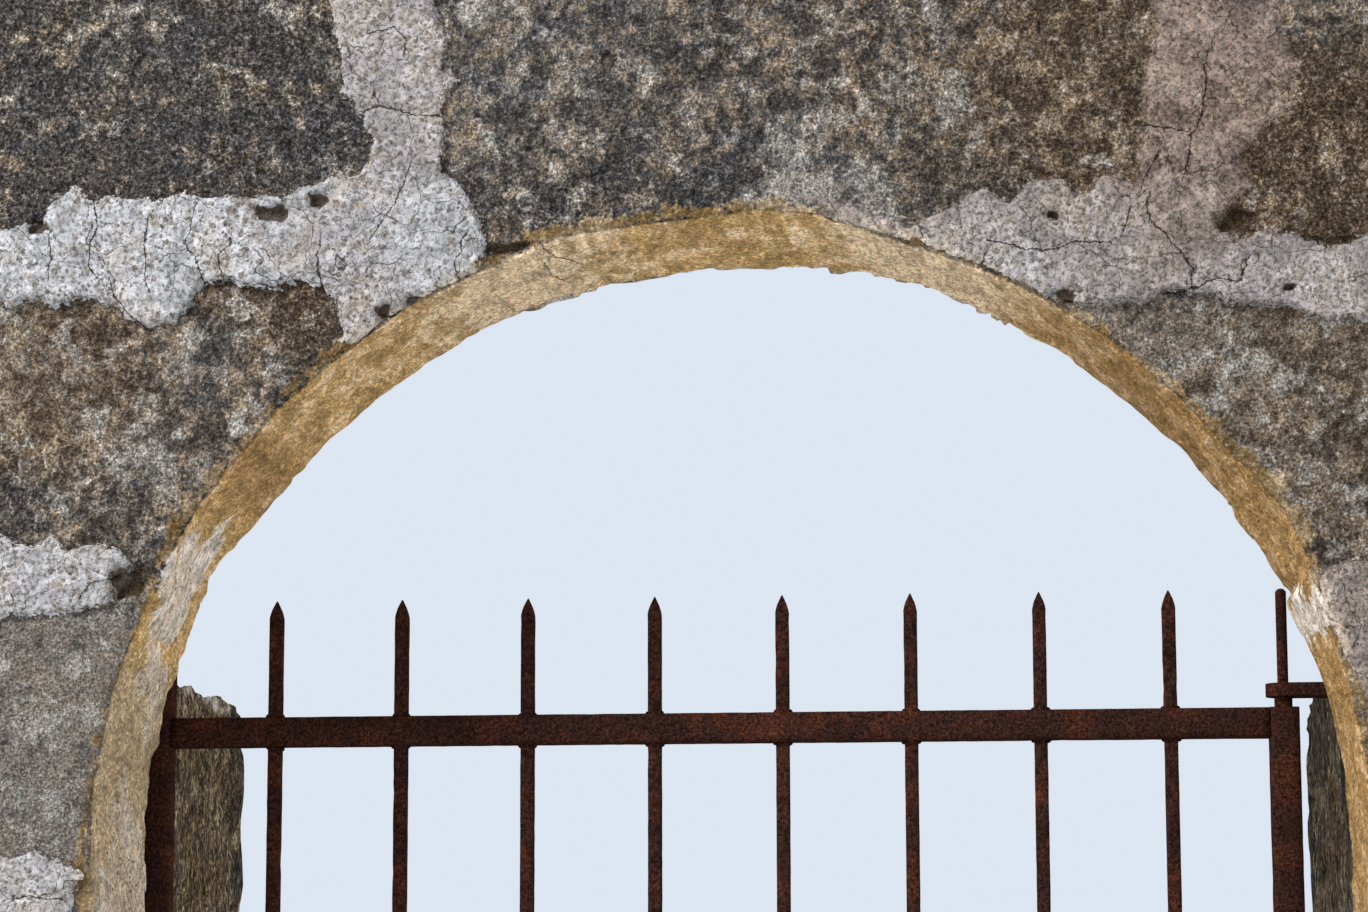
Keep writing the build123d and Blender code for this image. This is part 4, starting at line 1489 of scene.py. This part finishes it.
class GATEWAY_OT_rear_walls(bpy.types.Operator):
    """Rough rubble walls behind the arch, with broken tops"""

    bl_idname = "gateway.rear_walls"
    bl_label = "Rear Walls"

    def execute(self, context):
        stone = context.scene.gateway_stone
        material = rubble_material(stone)
        for name, seed in (("rear_wall_left", 201), ("rear_wall_right", 231)):
            low, high = LOW[name], HIGH[name]
            mesh = remeshed(node_copy(name), stone.rubble_grain)
            points = get_points(mesh)
            normals = get_normals(mesh)
            joint, tone = rubble_cells(points, seed)
            points += normals * rubble_relief(points, normals, joint, seed)[:, None]
            under_crest = np.full(len(points), 1.0)
            if name == "rear_wall_left":
                under_crest = crest_as_seen(points, high.x)
                near_reveal = ease(points[:, 0], high.x - 0.05, high.x - 0.01)
                points[:, 0] += FAR_BULGE * ease(points[:, 1], BULGE_START, BULGE_FULL) * near_reveal
            set_points(mesh, np.clip(points, low, high + Vector((FAR_BULGE, 0, CREST_RISE))))
            wash = ease(WASH_TOP - points[:, 2], 0, 0.12) * (name == "rear_wall_right")
            on_reveal = ease(low.x + 0.035 - points[:, 0], 0.0, 0.02)
            # Painted sunlight on the tops and the broken crest
            painted_light_share = painted_sunlight(points, normals, under_crest, seed)
            set_attribute(mesh, "joint", joint)
            set_attribute(mesh, "tone", tone)
            set_attribute(mesh, "whitewash", np.maximum(wash * on_reveal * 0.75, painted_light_share))
            finished(name, mesh, "wall", "rubble", material, name)
        return {"FINISHED"}


# Ironwork

def worn_bar(name, centre, half, low, high, axis, pitting, point=None):
    """A square bar with rubbed corners and rust pits. point lists (distance from the end, half width)."""
    along = high - low
    count = max(2, round(along / BAR_FACET))
    stations = [(low + along * index / count, half) for index in range(count + 1)]
    if point:
        stations = [(place, size) for place, size in stations if place < high - point[0][0] - 0.004]
        stations += [(high - gap, size) for gap, size in point]
    ring = square_ring(corner=BAR_CORNER, steps=3)
    sides = len(ring)
    skin = [(across * size, through * size, place) for place, size in stations for across, through in ring]
    skin = np.array(skin)
    if axis == "x":
        skin = np.roll(skin, 1, axis=1)
    skin = rusted(skin + np.array(centre), sides, pitting)
    bm = bmesh.new()
    verts = [bm.verts.new(place) for place in skin]
    rings = [verts[start:start + sides] for start in range(0, len(verts), sides)]
    for near, far in zip(rings, rings[1:]):
        for side in range(sides):
            after = (side + 1) % sides
            bm.faces.new((near[side], near[after], far[after], far[side]))
    bm.faces.new(list(reversed(rings[0])))
    bm.faces.new(rings[-1])
    bmesh.ops.recalc_face_normals(bm, faces=bm.faces)
    for face in bm.faces:
        face.smooth = len(face.verts) == 4
    return mesh_from_bmesh(name, bm)


def rusted(skin, sides, pitting):
    """A bar's skin eaten in towards its middle line."""
    shrink = 0.5 * pitting * (1 + noise(skin, 0.012, 301, 2))
    shrink = shrink + pitting * ease(noise(skin, 0.02, 302, 2), 0.3, 0.8)
    middle = skin.reshape(-1, sides, 3).mean(axis=1).repeat(sides, axis=0)
    inward = middle - skin
    inward /= np.maximum(np.linalg.norm(inward, axis=1), 1e-6)[:, None]
    return skin + inward * np.minimum(shrink, DEEPEST_RUST)[:, None]


def square_ring(corner, steps):
    """Points round a square of half width 1 with clipped corners, several on each side."""
    ring = []
    for turn in range(4):
        angle = turn * math.pi / 2
        cosine, sine = math.cos(angle), math.sin(angle)
        for step in range(steps + 1):
            across = -1 + corner + (2 - 2 * corner) * step / steps
            ring.append((cosine - sine * across, sine + cosine * across))
    return ring


class GATEWAY_OT_gate_leaf(bpy.types.Operator):
    """Stiles, rails and spear-pointed bars of the gate"""

    bl_idname = "gateway.gate_leaf"
    bl_label = "Gate Leaf"

    def execute(self, context):
        iron = context.scene.gateway_iron
        material = gate_material(iron)
        for name in STILES + RAILS + BARS:
            low, high = LOW[name], HIGH[name]
            middle = (low + high) / 2
            if name in RAILS:
                half = (high.z - low.z) / 2
                mesh = worn_bar(name, (0, middle.y, middle.z), half, low.x, high.x, "x", iron.pitting)
            else:
                half = (high.x - low.x) / 2
                point = SPEAR_POINT if name in BARS else None
                mesh = worn_bar(name, (middle.x, middle.y, 0), half, low.z, high.z, "z", iron.pitting, point)
            finished(name, mesh, "gate_leaf", "gate_iron", material, name)
        return {"FINISHED"}


def gate_material(iron):
    return bpy.data.materials.get("rusty_gate_iron") or iron_material("rusty_gate_iron", iron)


class GATEWAY_OT_fittings(bpy.types.Operator):
    """Pins, lock, strap, socket and keeper, which keep their own solids"""

    bl_idname = "gateway.fittings"
    bl_label = "Iron Fittings"

    def execute(self, context):
        iron = context.scene.gateway_iron
        wall_iron = iron_material("rusty_wall_iron", iron)
        for name in ("head_pin", "foot_pin", "lock_case"):
            paint_node(name, gate_material(iron))
        for name in ("hinge_strap", "foot_socket", "lock_keeper"):
            paint_node(name, wall_iron)
        return {"FINISHED"}


def paint_node(name, material):
    """A CAD node keeps its shape and takes a finish."""
    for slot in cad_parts[name].material_slots:
        slot.material = material


def weld_places():
    """Corners where bars meet the rails, above and below each rail."""
    places = []
    for rail in RAILS:
        for bar in BARS:
            middle = (LOW[bar] + HIGH[bar]) / 2
            half = (HIGH[bar].x - LOW[bar].x) / 2
            for height in (LOW[rail].z, HIGH[rail].z):
                if height <= LOW[bar].z + 0.001:
                    continue
                for side in (-1, 1):
                    places.append((middle.x + side * half, middle.y, height))
                    places.append((middle.x, middle.y + side * half, height))
    return places


def weld_tree(material):
    """Geometry nodes: a lumpy bead on each point of the mesh."""
    tree = bpy.data.node_groups.new("Weld Beads", "GeometryNodeTree")
    tree.interface.new_socket("Geometry", in_out="INPUT", socket_type="NodeSocketGeometry")
    tree.interface.new_socket("Bead Radius", in_out="INPUT", socket_type="NodeSocketFloat")
    tree.interface.new_socket("Seed", in_out="INPUT", socket_type="NodeSocketInt")
    tree.interface.new_socket("Geometry", in_out="OUTPUT", socket_type="NodeSocketGeometry")
    nodes, links = tree.nodes, tree.links
    start = nodes.new("NodeGroupInput")
    end = nodes.new("NodeGroupOutput")
    bead = nodes.new("GeometryNodeMeshIcoSphere")
    bead.inputs["Subdivisions"].default_value = 2
    links.new(start.outputs["Bead Radius"], bead.inputs["Radius"])
    turn = nodes.new("FunctionNodeRandomValue")
    turn.data_type = "FLOAT_VECTOR"
    turn.inputs[1].default_value = (math.tau, math.tau, math.tau)
    links.new(start.outputs["Seed"], turn.inputs["Seed"])
    size = nodes.new("FunctionNodeRandomValue")
    size.data_type = "FLOAT_VECTOR"
    size.inputs[0].default_value = (0.7, 0.7, 0.7)
    size.inputs[1].default_value = (1.35, 1.2, 1.1)
    links.new(start.outputs["Seed"], size.inputs["Seed"])
    place = nodes.new("GeometryNodeInstanceOnPoints")
    links.new(start.outputs["Geometry"], place.inputs["Points"])
    links.new(bead.outputs["Mesh"], place.inputs["Instance"])
    links.new(turn.outputs[0], place.inputs["Rotation"])
    links.new(size.outputs[0], place.inputs["Scale"])
    real = nodes.new("GeometryNodeRealizeInstances")
    links.new(place.outputs["Instances"], real.inputs[0])
    smooth = nodes.new("GeometryNodeSetShadeSmooth")
    links.new(real.outputs[0], smooth.inputs["Geometry"])
    paint = nodes.new("GeometryNodeSetMaterial")
    paint.inputs["Material"].default_value = material
    links.new(smooth.outputs["Geometry"], paint.inputs["Geometry"])
    links.new(paint.outputs["Geometry"], end.inputs["Geometry"])
    return tree


def set_input(modifier, name, value):
    """Sets a node modifier's input by its socket's identifier."""
    for item in modifier.node_group.interface.items_tree:
        if item.item_type == "SOCKET" and item.in_out == "INPUT" and item.name == name:
            modifier[item.identifier] = value


class GATEWAY_OT_welds(bpy.types.Operator):
    """Weld beads where the bars pass through the rails"""

    bl_idname = "gateway.welds"
    bl_label = "Weld Beads"

    def execute(self, context):
        iron = context.scene.gateway_iron
        material = gate_material(iron)
        mesh = bpy.data.meshes.new("weld_places")
        mesh.from_pydata(weld_places(), [], [])
        piece = new_object("weld_places", mesh)
        modifier = piece.modifiers.new("Beads", "NODES")
        modifier.node_group = weld_tree(material)
        set_input(modifier, "Bead Radius", iron.weld_size)
        set_input(modifier, "Seed", iron.weld_seed)
        beads = applied(piece, "weld_beads")
        if not beads.polygons:
            raise RuntimeError("the weld beads came out empty")
        finished("weld_beads", beads, "gate_leaf", "gate_iron", material)
        return {"FINISHED"}


# Stage

class GATEWAY_OT_stage(bpy.types.Operator):
    """Floor, soft light and the camera"""

    bl_idname = "gateway.stage"
    bl_label = "Stage"

    def execute(self, context):
        stage = context.scene.gateway_stage
        set_camera(context.scene)
        set_floor(stage)
        set_sky(context.scene, stage)
        set_lamp("key", *KEY_LAMP, stage.key_light)
        set_lamp("rear", *REAR_LAMP, stage.key_light * REAR_SHARE)
        context.scene.view_settings.view_transform = "Standard"
        return {"FINISHED"}


def set_camera(scene):
    """The camera where the photograph was taken from."""
    right, up, forward = camera_axes()
    data = bpy.data.cameras.new("camera")
    data.lens = LENS
    data.sensor_width = SENSOR
    data.clip_end = 200
    camera = bpy.data.objects.new("camera", data)
    turned = Matrix((right, up, -forward)).transposed().to_4x4()
    camera.matrix_world = Matrix.Translation(CAMERA_PLACE) @ turned
    scene.collection.objects.link(camera)
    scene.camera = camera


def set_floor(stage):
    """A pale disc that takes on the backdrop's colour, to the camera only, well away from the wall."""
    bm = bmesh.new()
    bmesh.ops.create_circle(bm, cap_ends=True, segments=FLOOR_SIDES, radius=FLOOR_RADIUS)
    floor = new_object("floor", mesh_from_bmesh("floor", bm))
    s = Shader("pale_floor")
    floor.data.materials.append(s.finish(stage.floor_colour, 0.9, s.noise(0.5, 2.0), 0.0005))
    away = s.add("ShaderNodeVectorMath", {0: s.place}, operation="LENGTH").outputs["Value"]
    seen = s.add("ShaderNodeLightPath").outputs["Is Camera Ray"]
    far = s.add("ShaderNodeEmission", {"Color": tuple(stage.backdrop_colour)})
    share = s.times(s.step(away, FADE_START, FADE_END), seen)
    mixed = s.add("ShaderNodeMixShader", {0: share, 1: s.surface.outputs[0], 2: far.outputs[0]})
    s.put(s.tree.nodes["Material Output"].inputs["Surface"], mixed.outputs[0])


def set_sky(scene, stage):
    """Even white light, with the backdrop's colour for the camera and for glossy reflections."""
    world = bpy.data.worlds.new("sky")
    world.use_nodes = True
    scene.world = world
    nodes, links = world.node_tree.nodes, world.node_tree.links
    lit = nodes["Background"]
    lit.inputs["Color"].default_value = (1, 1, 1, 1)
    lit.inputs["Strength"].default_value = stage.sky_light
    seen = nodes.new("ShaderNodeBackground")
    seen.inputs["Color"].default_value = tuple(stage.backdrop_colour) + (1,)
    path = nodes.new("ShaderNodeLightPath")
    pick = nodes.new("ShaderNodeMath")
    pick.operation = "MAXIMUM"
    links.new(path.outputs["Is Camera Ray"], pick.inputs[0])
    links.new(path.outputs["Is Glossy Ray"], pick.inputs[1])
    mixed = nodes.new("ShaderNodeMixShader")
    links.new(pick.outputs[0], mixed.inputs[0])
    links.new(lit.outputs[0], mixed.inputs[1])
    links.new(seen.outputs[0], mixed.inputs[2])
    links.new(mixed.outputs[0], nodes["World Output"].inputs["Surface"])


def set_lamp(name, place, target, size, power):
    """A square soft lamp that points at a target."""
    data = bpy.data.lights.new(name, "AREA")
    data.size = size
    data.energy = power
    lamp = bpy.data.objects.new(name, data)
    facing = (Vector(target) - Vector(place)).to_track_quat("-Z", "Y")
    lamp.matrix_world = Matrix.Translation(place) @ facing.to_matrix().to_4x4()
    bpy.context.scene.collection.objects.link(lamp)


class GATEWAY_PT_panel(bpy.types.Panel):
    """Lists the pieces in the order they are made"""

    bl_idname = "GATEWAY_PT_panel"
    bl_label = "Arched Gateway"
    bl_space_type = "VIEW_3D"
    bl_region_type = "UI"
    bl_category = "Gateway"

    def draw(self, context):
        for operator in OPERATORS:
            self.layout.operator(operator.bl_idname)
        for group in SETTINGS:
            settings = getattr(context.scene, group)
            box = self.layout.box()
            for name in settings.__annotations__:
                box.prop(settings, name)


OPERATORS = (
    GATEWAY_OT_head_stones, GATEWAY_OT_jambs, GATEWAY_OT_coping, GATEWAY_OT_threshold, GATEWAY_OT_rear_walls,
    GATEWAY_OT_gate_leaf, GATEWAY_OT_fittings, GATEWAY_OT_welds, GATEWAY_OT_stage,
)
SETTINGS = {
    "gateway_stone": GatewayStoneSettings,
    "gateway_iron": GatewayIronSettings,
    "gateway_stage": GatewayStageSettings,
}


def register():
    for name, settings in SETTINGS.items():
        bpy.utils.register_class(settings)
        setattr(bpy.types.Scene, name, PointerProperty(type=settings))
    for operator in OPERATORS:
        bpy.utils.register_class(operator)
    bpy.utils.register_class(GATEWAY_PT_panel)


def unregister():
    bpy.utils.unregister_class(GATEWAY_PT_panel)
    for operator in reversed(OPERATORS):
        bpy.utils.unregister_class(operator)
    for name, settings in SETTINGS.items():
        delattr(bpy.types.Scene, name)
        bpy.utils.unregister_class(settings)


def main():
    register()
    for step in OPERATORS:
        group, name = step.bl_idname.split(".")
        getattr(getattr(bpy.ops, group), name)()


if __name__ == "__main__":
    main()
